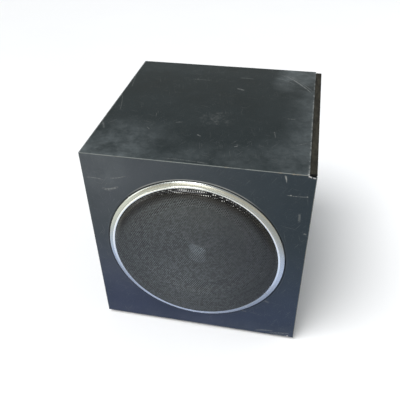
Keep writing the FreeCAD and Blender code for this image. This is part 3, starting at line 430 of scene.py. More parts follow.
def front_marks(shader):
    """Scuffs left of the ring and toward the corners, a wedge-shaped chip under the top edge, and a painted
    highlight along the upper part of the film's lip round the ring's seat.
    """
    plane = (0, 2)
    strokes = [
        ((-137, 255), (-110, 253), 0.5, 1, 0.3),
        ((-105, 257), (-83, 263), 0.5, -1, 0.35),
        ((-114.5, 239.5), (-94.5, 246), 1.3, -1.2, 0.33),
        ((-117, 241), (-104, 238.5), 1.6, 0, 0.25),
        ((107.5, 275.8), (105.6, 287.6), 0.25, 0, 0.75, 9),
        ((108, 260.2), (133, 260.6), 0.45, -0.6, 0.45),
        ((112.6, 260.6), (115, 260.4), 0.7, 0, 0.8),
        ((131, 260.4), (133, 260.9), 0.7, 0, 0.8),
        ((126.5, 236), (127.5, 220), 1.4, 0, 0.22),
        ((133.5, 205.3), (137.5, 204.6), 0.6, 0, 0.6),
        ((94, 77), (102, 73), 1.6, 0, 0.2),
        ((60, 50), (72, 47), 0.8, 0, 0.25),
        ((84, 10), (112, 14), 1.4, 1, 0.25),
        ((104, 8), (136, 13), 1.4, 1, 0.3),
        ((112, 6.8), (136, 8), 0.8, 0, 0.4),
    ]
    masks = [streak(shader, plane, *stroke) for stroke in strokes]
    masks.append(spot(shader, plane, (131.6, 7.4), 1.5))
    # Painted highlight: a pale line where the film's lip round the seat catches light, on its upper part
    # only.
    off = abs(ring_reach(shader) - (SEAT + 1.1) * MM)
    high = shader.step(shader.axes()[2], AXIS.z + 80 * MM, AXIS.z + 112 * MM, 0.03, 0.6)
    masks.append(shader.ramp(off, 1.1, 0.5) * high)
    masks.append(spot(shader, plane, (133.2, 288.4), 1.2, 0.4))
    return masks


def front_chips(shader):
    """White paper showing where the front board's corners are broken."""
    plane = (0, 2)
    seam = SIDE_INNER / MM
    arcs = [streak(shader, plane, (seam - 1.5, 289), (seam + 3, 287.9), 1, 0.5, 1.2),
            streak(shader, plane, (seam + 3.6, 288.3), (RIGHT / MM - 0.8, 287.2), 0.8, -0.4, 0.9)]
    return largest(*arcs, spot(shader, plane, (seam + 0.5, 288.8), 1.2),
                   spot(shader, plane, (131.6, 7.4), 1.3))


def front_gap_shade(shader):
    """Painted shade: the dark inside of the crack behind the broken edge."""
    x, y, z = shader.axes()
    inside = shader.step(x, SIDE_INNER, SIDE_INNER + 0.3 * MM)
    below = shader.step(z, TOP - 0.2 * MM, TOP - 0.6 * MM)
    return inside * below * shader.step(y, FRONT + 0.8 * MM, FRONT + 1.1 * MM)


def crack_shade(shader):
    """The closing board's dark end where it meets the crack: painted shadow, with crushed board in part."""
    _, y, z = shader.axes()
    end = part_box("right_side_panel")[0].y
    near = shader.step(y, end + 3.2 * MM, end + 2.2 * MM)
    return near * shader.step(z, TOP - 14 * MM, TOP - 12 * MM)


def front_painted_light(shader):
    """Painted light and shade in the film's colour: greener and lighter at the upper left, bluer toward the
    floor where the floor's reflection falls, darker toward the right.
    """
    across, _, height = shader.axes()
    aside = shader.ramp(across, -50, 135)
    high = shader.mix(aside, (0.034, 0.042, 0.050), (0.0130, 0.0225, 0.0305))
    low = shader.mix(aside, (0.0165, 0.0240, 0.051), (0.0120, 0.0215, 0.044))
    return shader.mix(shader.ramp(height, 195, 15), high, low)


def front_haze_and_light(shader):
    """Where the haze lies: painted light at the upper left, and a lighter band along the bottom."""
    x, _, z = shader.axes()
    upper = shader.ramp(z, 220, 265) * shader.ramp(x, -60, -110)
    lower = shader.ramp(z, 40, 12, 0, 0.5)
    return largest(upper, lower, 0.1)


def silver_paint():
    """Metallic silver lacquer: fine flake, a trace of orange peel and rubbed spots, with painted light: a
    painted reflection that is bluer below, painted shade at the lower right and lower left, and a painted
    highlight on the nose.
    """
    shader = Shader("silver_paint")
    flake = shader.noise(2600, 2, 0.7)
    cloud = shader.noise(26, 4, 0.6)
    east, up = from_axis(shader)
    # Painted reflection in the base colour: darker and greener on the left, lighter on the right, and bluer
    # below.
    warm = shader.mix(shader.ramp(east, -40, 40), (0.42, 0.44, 0.41), (0.51, 0.53, 0.515))
    tint = shader.mix(shader.ramp(up, -20, 50), (0.50, 0.53, 0.575), warm)
    base = shader.mix(1, shader.mix(flake, gray(0.88), gray(1.12)), tint, "MULTIPLY")
    base = shader.mix(shader.step(cloud, 0.5, 0.85, 0, 0.3), base, (0.42, 0.42, 0.42))
    reach = ring_reach(shader)
    nose = shader.ramp(reach, MOUTH, MOUTH + 0.5)
    nose = nose * shader.ramp(reach, MOUTH + 3.5, MOUTH + 2.9)
    # Painted shade toward the lower right and the lower left of the ring.
    for bearing, start, dark in ((312, 88, 0.42), (210, 100, 0.3)):
        angle = math.radians(bearing)
        toward = east * math.cos(angle) + up * math.sin(angle)
        base = shader.mix(shader.step(toward, start * MM, RING_OUTER * MM, 0, dark), base, gray(0))
    # Painted highlight: the nose is pale, most of all on its upper part, and less so straight above the
    # axis.
    nose = nose * shader.ramp(up, -60, 20, 0.05, 0.85)
    above = shader.ramp(abs(east - 12 * MM), 20, 50, 0.4, 1)
    base = shader.mix(nose * above, base, (0.93, 0.93, 0.89))
    specks = shader.step(shader.noise(420, 3, 0.6), 0.68, 0.76, 0, 0.5)
    base = shader.mix(specks, base, (0.25, 0.245, 0.23))
    rough = cloud * 0.12 + 0.2
    normal = shader.bump(shader.noise(900, 2), 0.015 * MM, 0.5)
    return shader.surface(base, rough, normal, metallic=0.95)


def black_paint(name, value=0.02, grain=900, depth=0.06, rough=0.45, dusty=0.3):
    """Powder coat or satin paint on steel, with dust in its texture."""
    shader = Shader(name)
    cloud = shader.noise(18, 5, 0.65)
    pebble = shader.noise(grain, 3, 0.55)
    base = shader.mix(pebble, gray(value * 0.7), gray(value * 1.4))
    base = shader.mix(shader.step(cloud, 0.4, 0.8) * dusty, base, gray(0.11, (1, 0.98, 0.92)))
    normal = shader.bump(pebble, depth * MM, 0.8)
    return shader.surface(base, cloud * 0.2 + (rough - 0.1), normal)


def grille_paint():
    """Satin black on perforated sheet, grayed by dust whose spread is partly painted light, with a painted
    shadow and painted glints near the top, and a plain rubbed patch at the middle.
    """
    shader = Shader("grille_paint")
    cloud = shader.noise(14, 5, 0.65)
    fine = shader.noise(900, 2, 0.6)
    base = shader.mix(fine, (0.022, 0.025, 0.026), (0.046, 0.050, 0.052))
    east, up = from_axis(shader)
    reach = ring_reach(shader)
    # Dust graded across the sheet: lighter toward the lower left, darker toward the upper right; the
    # grading is painted light in part.
    dust = shader.ramp(east, 115, -40, 0.1, 0.92)
    dust = dust * shader.ramp(east, -10, -90, 1, 0.7) * shader.step(cloud, 0.25, 0.7, 0.85, 1)
    dust = dust * shader.ramp(reach, 70, 108, 1, 0.75)
    dust = dust * shader.ramp(up, 30, -70, 0.8, 1)
    base = shader.mix(dust, base, (0.134, 0.148, 0.152))
    grit = shader.step(shader.noise(300, 2, 0.5), 0.3, 0.7)
    base = shader.mix(1, base, shader.mix(grit, gray(0.66), gray(1.34)), "MULTIPLY")
    # Painted shadow: a dark crescent inside the upper part of the ring's mouth.
    top = shader.ramp(up, 20, 60)
    edge = shader.ramp(reach, MOUTH - 15, MOUTH - 6)
    base = shader.mix(edge * top, base, gray(0.018))
    # Painted glints: pale dots on the rolled edge near the top, and on an arc further in that stands for
    # the surround's reflection seen through the holes.
    dots = shader.step(shader.cells(370, randomness=0), 0.36, 0.2) * top
    roll = shader.ramp(reach, MOUTH - 3.6, MOUTH - 3)
    inner = shader.ramp(reach, 89, 91) * shader.ramp(reach, 96, 94, 0, 0.7)
    glint = dots * largest(roll, inner) * shader.ramp(east, -55, 5, 0.12, 1)
    glint = glint * shader.ramp(east, 70, 30, 0.15, 0.9)
    base = shader.mix(glint, base, (0.75, 0.75, 0.72))
    middle = (AXIS.x / MM + 6, AXIS.z / MM + 17)
    fainter = spot(shader, (0, 2), (middle[0] - 1, middle[1] - 14), 12, 0.9) * 0.5
    patch = largest(spot(shader, (0, 2), middle, 12, 0.8), fainter)
    speckle = shader.step(shader.noise(700, 2, 0.6), 0.35, 0.65, 0.35, 1)
    base = shader.mix(patch * speckle, base, (0.21, 0.24, 0.255))
    rough = cloud * 0.1 + 0.12
    return shader.surface(base, rough, shader.bump(fine, 0.015 * MM, 0.5), metallic=0.1)


def plastic(name, color, rough=0.4, grain=700, depth=0.04):
    """Moulded plastic with a fine spark-eroded texture and slight shade changes."""
    shader = Shader(name)
    tone = shader.noise(30, 4, 0.6)
    base = shader.mix(tone, gray(0.75, color), gray(1.25, color))
    pits = shader.noise(grain, 3, 0.6)
    rubbed = shader.step(shader.noise(160, 4, 0.75, shader.stretch(1, 1, 0.3)), 0.64, 0.75, 0, 0.3)
    base = shader.mix(rubbed, base, gray(0.5, tuple(min(1, 0.12 + value) for value in color)))
    return shader.surface(base, tone * 0.2 + (rough - 0.08), shader.bump(pits, depth * MM, 0.7))


def rubber(name, value=0.018, rough=0.62, gloss=0.35):
    """Rubber or foam with a matt bloom."""
    shader = Shader(name)
    bloom = shader.noise(60, 5, 0.65)
    base = shader.mix(bloom, gray(value * 0.7), gray(value * 1.8, (1, 0.98, 0.95)))
    pores = shader.noise(1400, 3, 0.6)
    return shader.surface(base, bloom * 0.2 + rough, shader.bump(pores, 0.05 * MM, 0.8),
                          Specular_IOR_Level=gloss)


def metal(name, color, rough=0.3, brushed=(1, 1, 1), stain=0.25):
    """Bare or plated metal with fine directional scratches and light staining."""
    shader = Shader(name)
    lines = shader.noise(900, 3, 0.6, shader.stretch(*brushed))
    cloud = shader.noise(45, 5, 0.65)
    base = shader.mix(lines, gray(0.82, color), gray(1.1, color))
    base = shader.mix(shader.step(cloud, 0.45, 0.8, 0, stain), base, gray(0.45, color))
    return shader.surface(base, lines * 0.18 + (rough - 0.06), shader.bump(lines, 0.015 * MM, 0.5),
                          metallic=1)


def fibreboard(name, color):
    """Pressed wood fibre: short fibres, darker flecks and a dry surface."""
    shader = Shader(name)
    fibres = shader.noise(420, 6, 0.75, shader.stretch(1, 1, 0.5))
    flecks = shader.step(shader.noise(650, 3, 0.7), 0.62, 0.72, 0, 0.5)
    base = shader.mix(fibres, gray(0.6, color), gray(1.35, color))
    base = shader.mix(flecks, base, gray(0.35, color))
    return shader.surface(base, 0.85, shader.bump(fibres, 0.12 * MM, 0.8))


def paper_pulp():
    """Felted paper of the cone: tangled fibres under a thin black coating."""
    shader = Shader("cone_paper")
    fibres = shader.noise(800, 6, 0.8, distortion=2.5)
    base = shader.mix(fibres, (0.016, 0.018, 0.019), (0.032, 0.034, 0.036))
    base = shader.mix(shader.step(shader.noise(30, 4), 0.5, 0.8, 0, 0.3), base, (0.045, 0.046, 0.045))
    return shader.surface(base, 0.75, shader.bump(fibres, 0.15 * MM, 0.8))


def cloth(name, color, pitch, fuzzy=False):
    """Woven or matted cloth. The weave is two crossed sets of threads."""
    shader = Shader(name)
    x, _, z = shader.axes()
    turns = 2 * math.pi / pitch
    if fuzzy:
        weave = shader.noise(160, 8, 0.8, distortion=1.5)
    else:
        weave = (x * turns).sine() * (z * turns).sine() * 0.5 + 0.5
    shade = shader.noise(40, 4, 0.6)
    base = shader.mix(weave, gray(0.6, color), gray(1.2, color))
    base = shader.mix(shade * 0.35, base, gray(0.5, color))
    return shader.surface(base, 0.9, shader.bump(weave, (2 if fuzzy else 0.15) * MM, 0.8), Sheen_Weight=0.3)


def copper():
    """Enamelled winding wire laid turn by turn."""
    shader = Shader("winding_copper")
    y = shader.axes()[1]
    turns = (y * (2 * math.pi / (0.45 * MM))).sine() * 0.5 + 0.5
    tone = shader.noise(150, 4, 0.6)
    base = shader.mix(tone, (0.42, 0.13, 0.05), (0.72, 0.30, 0.14))
    base = shader.mix(turns, gray(0.35, (0.5, 0.2, 0.1)), base)
    return shader.surface(base, 0.32, shader.bump(turns, 0.2 * MM, 0.8), metallic=0.9)


def ceramic():
    """Pressed ferrite, ground flat, with small chips."""
    shader = Shader("ferrite")
    grain = shader.noise(600, 4, 0.6)
    chips = shader.step(shader.noise(130, 3, 0.7), 0.64, 0.7, 0, 0.6)
    base = shader.mix(grain, (0.035, 0.035, 0.038), (0.09, 0.09, 0.095))
    base = shader.mix(chips, base, (0.16, 0.16, 0.165))
    return shader.surface(base, 0.55, shader.bump(grain, 0.05 * MM, 0.6))


def circuit_laminate():
    """Glass-paper laminate with tinned tracks."""
    shader = Shader("circuit_laminate")
    x = shader.axes()[0]
    lanes = ((x + shader.noise(45, 1) * 0.02) * 900).sine()
    tracks = shader.step(lanes, 0.55, 0.7) * shader.step(shader.noise(70, 1), 0.45, 0.5)
    base = shader.mix(shader.noise(500, 4), (0.10, 0.065, 0.02), (0.17, 0.115, 0.04))
    base = shader.mix(tracks, base, (0.42, 0.42, 0.40))
    return shader.surface(base, tracks * -0.25 + 0.55, shader.bump(tracks, 0.05 * MM, 0.6),
                          metallic=tracks * 0.8)


def painted_line():
    """Off-white printing ink, thin enough to show the surface under it."""
    shader = Shader("printed_ink")
    wear = shader.noise(500, 4, 0.7)
    base = shader.mix(shader.step(wear, 0.35, 0.6), (0.35, 0.35, 0.34), (0.72, 0.72, 0.70))
    return shader.surface(base, 0.55, shader.bump(wear, 0.02 * MM, 0.5))


FILM_TOP = film("film_top", (0.0070, 0.0136, 0.0158), 0.85, (0, 1), top_marks, top_haze_and_sheen)
# The front film's layers paint white chips at its broken corner and painted shade inside the crack.
FILM_FRONT = film("film_front", front_painted_light, 0.30, (0, 2), front_marks, front_haze_and_light, raw_axis=1,
                  layers=((front_chips, gray(0.42, (1, 0.98, 1))), (front_gap_shade, gray(0.002))))
FILM_SIDE = film("film_side", (0.026, 0.031, 0.036), 0.5, (1, 2), raw_axis=1)
# The closing film's layer is painted shadow at the board's end by the crack.
FILM_CLOSING = film("film_closing", (0.026, 0.031, 0.036), 0.5, (1, 2), raw_axis=2,
                    layers=((crack_shade, gray(0.003)),))
SILVER = silver_paint()
GRILLE_PAINT = grille_paint()
# Painted shade: near-black paint on the walls of the grille's holes.
HOLE_SHADE_PAINT = black_paint("hole_shade_paint", 0.006, 900, 0.02, 0.6, 0.02)
BLACK_BOARD = black_paint("black_board", 0.018, 300, 0.12, 0.75, 0.2)
INNER_BLACK = black_paint("inner_black", 0.008, 300, 0.12, 0.8, 0.03)
BLACK_STEEL = black_paint("black_steel", 0.02, 1000, 0.08, 0.45, 0.25)
BASKET_STEEL = black_paint("basket_steel", 0.014, 1200, 0.03, 0.5, 0.1)
BLACK_PLASTIC = plastic("black_plastic", (0.018, 0.018, 0.019))
GLOSS_BLACK = plastic("gloss_black", (0.014, 0.014, 0.015), 0.22, 300, 0.01)
RED_PLASTIC = plastic("red_plastic", (0.50, 0.015, 0.012), 0.28, 500, 0.01)
WHITE_PLASTIC = plastic("white_plastic", (0.72, 0.71, 0.66), 0.28, 500, 0.01)
SLEEVE_PLASTIC = plastic("capacitor_sleeve", (0.012, 0.02, 0.07), 0.25, 300, 0.01)
BROWN_FILM = plastic("former_film", (0.26, 0.13, 0.05), 0.3, 500, 0.01)
WIRE_RED = plastic("wire_insulation", (0.22, 0.012, 0.012), 0.4, 500, 0.01)
RUBBER = rubber("soft_rubber")
ROLL_RUBBER = rubber("roll_rubber", 0.02, 0.12, 0.9)
FOAM = rubber("foam", 0.012, 0.8)
ZINC = metal("zinc_plate", (0.62, 0.61, 0.57), 0.32)
DARK_SCREW = metal("blackened_screw", (0.09, 0.09, 0.092), 0.38)
NICKEL = metal("nickel_plate", (0.70, 0.67, 0.60), 0.22)
ALUMINIUM = metal("extruded_aluminium", (0.75, 0.76, 0.77), 0.35, (1, 1, 0.05))
IRON = metal("plated_iron", (0.50, 0.47, 0.38), 0.38, stain=0.4)
CORE_STEEL = metal("core_laminations", (0.30, 0.30, 0.31), 0.45, (0.2, 3, 0.2), 0.5)
RAW_BOARD = fibreboard("raw_board", (0.36, 0.25, 0.15))
PAPER = paper_pulp()
DUST_CAP = plastic("dust_cap_gray", (0.030, 0.032, 0.034), 0.4, 400, 0.02)
WADDING = cloth("wadding", (0.62, 0.62, 0.60), 1 * MM, fuzzy=True)
SPIDER_CLOTH = cloth("spider_cloth", (0.42, 0.26, 0.09), 0.9 * MM)
COPPER = copper()
FERRITE = ceramic()
CIRCUIT = circuit_laminate()
INK = painted_line()


# ---- mesh building ---------------------------------------------------------------------------

def add_object(name, data):
    thing = bpy.data.objects.new(name, data)
    bpy.context.scene.collection.objects.link(thing)
    return thing


def link_mesh(name, mesh, material, smooth=True):
    """A new object in the scene, shaded smooth except at its sharp edges."""
    thing = add_object(name, mesh)
    mesh.materials.clear()
    mesh.materials.append(material)
    if smooth:
        mesh.polygons.foreach_set("use_smooth", [True] * len(mesh.polygons))
        mesh.set_sharp_from_angle(angle=math.radians(32))
    return thing


def angles(count, degrees):
    """Angles in radians from 0 on, the given degrees apart."""
    return [math.radians(step * degrees) for step in range(count)]


def move(thing, *matrices):
    for matrix in matrices:
        thing.data.transform(matrix)


def mesh_from(name, vertices, faces):
    mesh = bpy.data.meshes.new(name)
    mesh.from_pydata([tuple(vertex) for vertex in vertices], [], [tuple(face) for face in faces])
    mesh.update()
    return mesh


@contextmanager
def reworked(mesh, *sources):
    """The sources' faces, open to changes, written to the mesh at the end."""
    work = bmesh.new()
    for source in sources:
        work.from_mesh(source)
    yield work
    work.to_mesh(mesh)
    work.free()


def install(thing, nodes=(), body=BODY, slot=None):
    """Put a piece on a body, in place of CAD nodes."""
    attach(thing, body)
    if nodes:
        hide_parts(*nodes)
    return thing


def bend(thing, first, second, start, end, node, slot):
    """Bake a piece's placement into its mesh and hide the CAD node it replaces. first, second, start, end
    and slot are not used.
    """
    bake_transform(thing)
    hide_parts(node)


def slot_of(node):
    return next(item["material_slot"] for item in frame["record"]["subparts"] if item["node"] == node)


def fillet(points, radius):
    """A closed outline with every corner rounded, or as much as its sides allow."""
    steps = 4
    points = [np.array(point, float) for point in points]
    rounded = []
    for index, corner in enumerate(points):
        before, after = points[index - 1] - corner, points[(index + 1) % len(points)] - corner
        long_before, long_after = np.linalg.norm(before), np.linalg.norm(after)
        before, after = before / long_before, after / long_after
        half = math.acos(max(-1, min(1, float(before @ after)))) / 2
        if half > math.radians(86):
            rounded.append(corner)
            continue
        reach = min(radius / math.tan(half), 0.45 * long_before, 0.45 * long_after)
        bend = reach * math.tan(half)
        middle = before + after
        centre = corner + middle / np.linalg.norm(middle) * (bend / math.sin(half))
        start, end = corner + before * reach - centre, corner + after * reach - centre
        first = math.atan2(start[1], start[0])
        sweep = math.atan2(end[1], end[0]) - first
        sweep = (sweep + math.pi) % (2 * math.pi) - math.pi
        for step in range(steps + 1):
            angle = first + sweep * step / steps
            rounded.append(centre + bend * np.array((math.cos(angle), math.sin(angle))))
    return rounded


def lathe(name, outline, material, centre=AXIS, segments=192, wave=None):
    """A closed outline of (radius, depth) points in millimetres, turned about an axis that runs
    backward through centre. wave(angle, radius, depth) may change a point's radius."""
    outline = [tuple(point) for point in outline]
    vertices = []
    for segment in range(segments):
        angle = 2 * math.pi * segment / segments
        for radius, depth in outline:
            reach = wave(angle, radius, depth) if wave else radius
            vertices.append((centre[0] + reach * MM * math.cos(angle), centre[1] + depth * MM,
                             centre[2] + reach * MM * math.sin(angle)))
    count = len(outline)
    faces = []
    for segment in range(segments):
        here, there = segment * count, ((segment + 1) % segments) * count
        for index in range(count):
            after = (index + 1) % count
            faces.append((here + index, here + after, there + after, there + index))
    mesh = mesh_from(name, vertices, faces)
    with reworked(mesh, mesh) as work:
        bmesh.ops.remove_doubles(work, verts=work.verts, dist=1e-7)
        bmesh.ops.recalc_face_normals(work, faces=work.faces)
    return link_mesh(name, mesh, material)


def refined(node, material, bevel=0.3, body=BODY):
    """A copy of a CAD node's mesh with its sharp edges rounded, shown in its place."""
    mesh = bpy.data.meshes.new(node)
    with reworked(mesh, frame["nodes"][node].data) as work:
        bmesh.ops.remove_doubles(work, verts=work.verts, dist=1e-6)
        bmesh.ops.dissolve_limit(work, angle_limit=math.radians(1.2), verts=work.verts, edges=work.edges)
    thing = link_mesh(node + "_finish", mesh, material)
    edge = thing.modifiers.new("rounding", "BEVEL")
    edge.width = bevel * MM
    edge.segments = 3
    edge.limit_method = "ANGLE"
    edge.angle_limit = math.radians(25)
    edge.harden_normals = True
    apply_modifiers(thing)
    return install(thing, [node], body, slot_of(node))


def apply_modifiers(thing):
    """Bake the modifiers into the mesh."""
    evaluated = thing.evaluated_get(bpy.context.evaluated_depsgraph_get())
    mesh = bpy.data.meshes.new_from_object(evaluated)
    thing.modifiers.clear()
    thing.data = mesh


def flatten(thing):
    """Let large flat faces keep their own direction beside small rounded ones."""
    even = thing.modifiers.new("even", "WEIGHTED_NORMAL")
    even.keep_sharp = True
    apply_modifiers(thing)


def carve(thing, cutter):
    """Cut another object out of this one."""
    cut = thing.modifiers.new("cut", "BOOLEAN")
    cut.operation = "DIFFERENCE"
    cut.solver = "EXACT"
    cut.object = cutter
    bpy.context.view_layer.update()
    apply_modifiers(thing)
    bpy.data.objects.remove(cutter)


def corner_drop(distance, radius):
    """How far a rounded edge lies below the flat face at a distance from the corner."""
    inside = max(0.0, radius - distance)
    return radius - math.sqrt(max(0.0, radius ** 2 - inside ** 2))


def stations(length, round_low, round_high, folded_low, folded_high):
    """Places along a board's side, dense where its edges are rounded. A folded edge stops at the
    middle of the round corner, which the next board completes."""
    steps = 5

    def rounding(radius, folded):
        start = math.radians(45) if folded else 0
        return [radius * (1 - math.cos(start + (math.pi / 2 - start) * step / steps))
                for step in range(steps + 1)]

    return rounding(round_low, folded_low) + [length - share for share in rounding(round_high, folded_high)]


def board(name, material, corner, along, across, outward, folds, more=()):
    """A board of the folded wrap. It lies from its outer corner along two directions, and folds
    says which of its four sides (low and high along, low and high across) are folded. A folded side
    is rounded by radius and the others by plain. more adds places along the first direction."""
    radius, plain = 0.8, 0.35
    thickness = BOARD / MM
    along, across, outward = Vector(along), Vector(across), Vector(outward)
    lengths = (along.length / MM, across.length / MM)
    directions = (along.normalized(), across.normalized())
    sides = []
    for axis in (0, 1):
        low_folded, high_folded = folds[2 * axis], folds[2 * axis + 1]
        places = stations(lengths[axis], radius if low_folded else plain,
                          radius if high_folded else plain, low_folded, high_folded)
        sides.append(sorted(places + (list(more) if axis == 0 else [])))

    def drop(axis, place):
        low_folded, high_folded = folds[2 * axis], folds[2 * axis + 1]
        below = corner_drop(place, radius if low_folded else plain)
        above = corner_drop(lengths[axis] - place, radius if high_folded else plain)
        return max(below, above)

    work = bmesh.new()
    grid = []
    for u in sides[0]:
        row = []
        for v in sides[1]:
            sink = max(drop(0, u), drop(1, v))
            point = Vector(corner) + (directions[0] * u + directions[1] * v - outward * sink) * MM
            row.append(work.verts.new(point))
        grid.append(row)
    for i in range(len(grid) - 1):
        for j in range(len(grid[0]) - 1):
            work.faces.new((grid[i][j], grid[i + 1][j], grid[i + 1][j + 1], grid[i][j + 1]))
    inner = {}
    for i in (0, 1):
        for j in (0, 1):
            u = (thickness if folds[i] else 0) if i == 0 else lengths[0] - (thickness if folds[1] else 0)
            v = (thickness if folds[2] else 0) if j == 0 else lengths[1] - (thickness if folds[3] else 0)
            place = Vector(corner) + (directions[0] * u + directions[1] * v - outward * thickness) * MM
            inner[i, j] = work.verts.new(place)
    work.faces.new((inner[0, 0], inner[0, 1], inner[1, 1], inner[1, 0]))
    work.faces.new([row[0] for row in grid] + [inner[1, 0], inner[0, 0]])
    work.faces.new([row[-1] for row in reversed(grid)] + [inner[0, 1], inner[1, 1]])
    work.faces.new(list(reversed(grid[0])) + [inner[0, 0], inner[0, 1]])
    work.faces.new(grid[-1] + [inner[1, 1], inner[1, 0]])
    bmesh.ops.recalc_face_normals(work, faces=work.faces)
    mesh = bpy.data.meshes.new(name)
    work.to_mesh(mesh)
    work.free()
    return link_mesh(name, mesh, material)


# ---- cabinet ---------------------------------------------------------------------------------

# Places across the front board, in millimetres, where its broken corner needs vertices.
CHIPPED = [(SIDE_INNER - LEFT) / MM + 0.7 * step for step in range(12)]


def make_cabinet():
    """The folded wrap (front, top, left and bottom boards) and the closing board on the right."""
    width, depth, height = RIGHT - LEFT, REAR - FRONT, TOP - BOTTOM
    inner_width = SIDE_INNER - LEFT
    top = board("top_board", FILM_TOP, (LEFT, FRONT, TOP), (inner_width, 0, 0), (0, depth, 0),
                (0, 0, 1), (True, False, True, False))
    install(top, ["top_panel"], slot="laminate")
    bottom = board("bottom_board", FILM_SIDE, (LEFT, FRONT, BOTTOM), (inner_width, 0, 0), (0, depth, 0),
                   (0, 0, -1), (True, False, True, False))
    install(bottom, ["bottom_panel"], slot="laminate")
    left = board("left_board", FILM_SIDE, (LEFT, FRONT, BOTTOM), (0, depth, 0), (0, 0, height),
                 (-1, 0, 0), (True, False, True, True))
    install(left, ["left_side_panel"], slot="laminate")
    front = board("front_board", FILM_FRONT, (LEFT, FRONT, BOTTOM), (width, 0, 0), (0, 0, height),
                  (0, -1, 0), (True, False, True, True), CHIPPED)
    chip_corner(front)
    opening = [(0, -20), (SEAT + 0.4, -20), (SEAT + 0.4, 0), (SEAT + 0.3, 0.02), (SEAT + 0.1, 0.15),
               (SEAT, 0.4), (SEAT, 3), (THROUGH, 3), (THROUGH, 20), (0, 20)]
    carve(front, lathe("opening", opening, FILM_FRONT))
    gap = box_mesh("gap", (SIDE_INNER + RIGHT) / 2, FRONT + 1.3 * MM, TOP, 7.4 * MM, BOARD, 15 * MM)
    carve(front, gap)
    for made in (top, bottom, left, front):
        flatten(made)
    install(front, ["front_baffle"], slot="laminate")
    refined("right_side_panel", FILM_CLOSING, 0.5)


def chip_corner(front):
    """Where the closing board leaves the front board's mitre bare, its edge is broken away."""
    for vertex in front.data.vertices:
        place = vertex.co
        if place.x > SIDE_INNER + 0.3 * MM and place.z > TOP - 1.2 * MM:
            ragged = 0.5 + 0.5 * math.sin(place.x * 2600) * math.sin(place.x * 900 + 1)
            vertex.co.z -= (0.9 + 0.8 * ragged) * MM


# ---- ring and grille -------------------------------------------------------------------------

def make_ring():
    """Trim ring: a wide rounded nose at the mouth, a fine groove, then a bevelled band."""
    nose = [(MOUTH + 1.1 - 1.1 * math.cos(angle), -PROUD + 1.25 - 1.1 * math.sin(angle))
            for angle in angles(7, 15)]
    crest = [(1.7, 0.04), (2.3, 0), (2.9, 0.06), (3.25, 0.25), (3.45, 0.6), (3.7, 0.65),
             (3.95, 0.5), (4.2, 0.5)]
    band = [(MOUTH + reach, -PROUD + low) for reach, low in crest]
    slope = [(1.3, -1.25), (0.6, -0.8), (0.15, -0.25), (0, 0.3)]
    band += [(RING_OUTER - inward, depth) for inward, depth in slope]
    hub = THROUGH - 0.2
    back = [(RING_OUTER, 3), (hub, 3), (hub, 8.6), (SLEEVE, 8.6), (SLEEVE, 0), (MOUTH, 0)]
    ring = lathe("trim_ring_finish", nose + band + back, SILVER, segments=320)
    install(ring, ["trim_ring"], slot="silver_paint")


# The perforated sheet, in millimetres: its holes, its thickness, its dome and its rolled edge.
HOLE_PITCH = 2.72
HOLE_REACH = 1.13
SHEET = 0.8
DOME = 1
ROLLED = 5.5
LIFT = 2
WALL = MOUTH - 0.4
EDGE = WALL - ROLLED
SHEET_END = EDGE + ROLLED * math.pi / 2 + LIFT


def sheet_profile(travel):
    """Radius, depth and tilt of the grille's face at a distance along it from its middle."""
    bend = np.clip((travel - EDGE) / ROLLED, 0, math.pi / 2)
    beyond = np.clip(travel - (SHEET_END - LIFT), 0, LIFT)
    radius = np.minimum(travel, EDGE) + ROLLED * np.sin(bend)
    dome = DOME * (1 - (np.minimum(travel, EDGE) / EDGE) ** 2)
    return radius, -LIFT - ROLLED * np.cos(bend) - dome + beyond, bend


def paint_holes(mesh):
    """A darker paint on the walls of the holes, as painted shade inside them: the faces that don't look
    along the sheet's tilt.
    """
    mesh.materials.append(HOLE_SHADE_PAINT)
    count = len(mesh.polygons)
    middles, normals = np.empty(3 * count), np.empty(3 * count)
    mesh.polygons.foreach_get("center", middles)
    mesh.polygons.foreach_get("normal", normals)
    middles, normals = middles.reshape(-1, 3) - np.array(AXIS), normals.reshape(-1, 3)
    radius = np.hypot(middles[:, 0], middles[:, 2])
    lean = np.clip((radius / MM - EDGE) / ROLLED, 0, 1)
    facing = np.column_stack((middles[:, 0] / radius * lean, -np.sqrt(1 - lean ** 2),
                              middles[:, 2] / radius * lean))
    across = np.abs((normals * facing).sum(axis=1)) < 0.5
    mesh.polygons.foreach_set("material_index", across.astype(int).tolist())


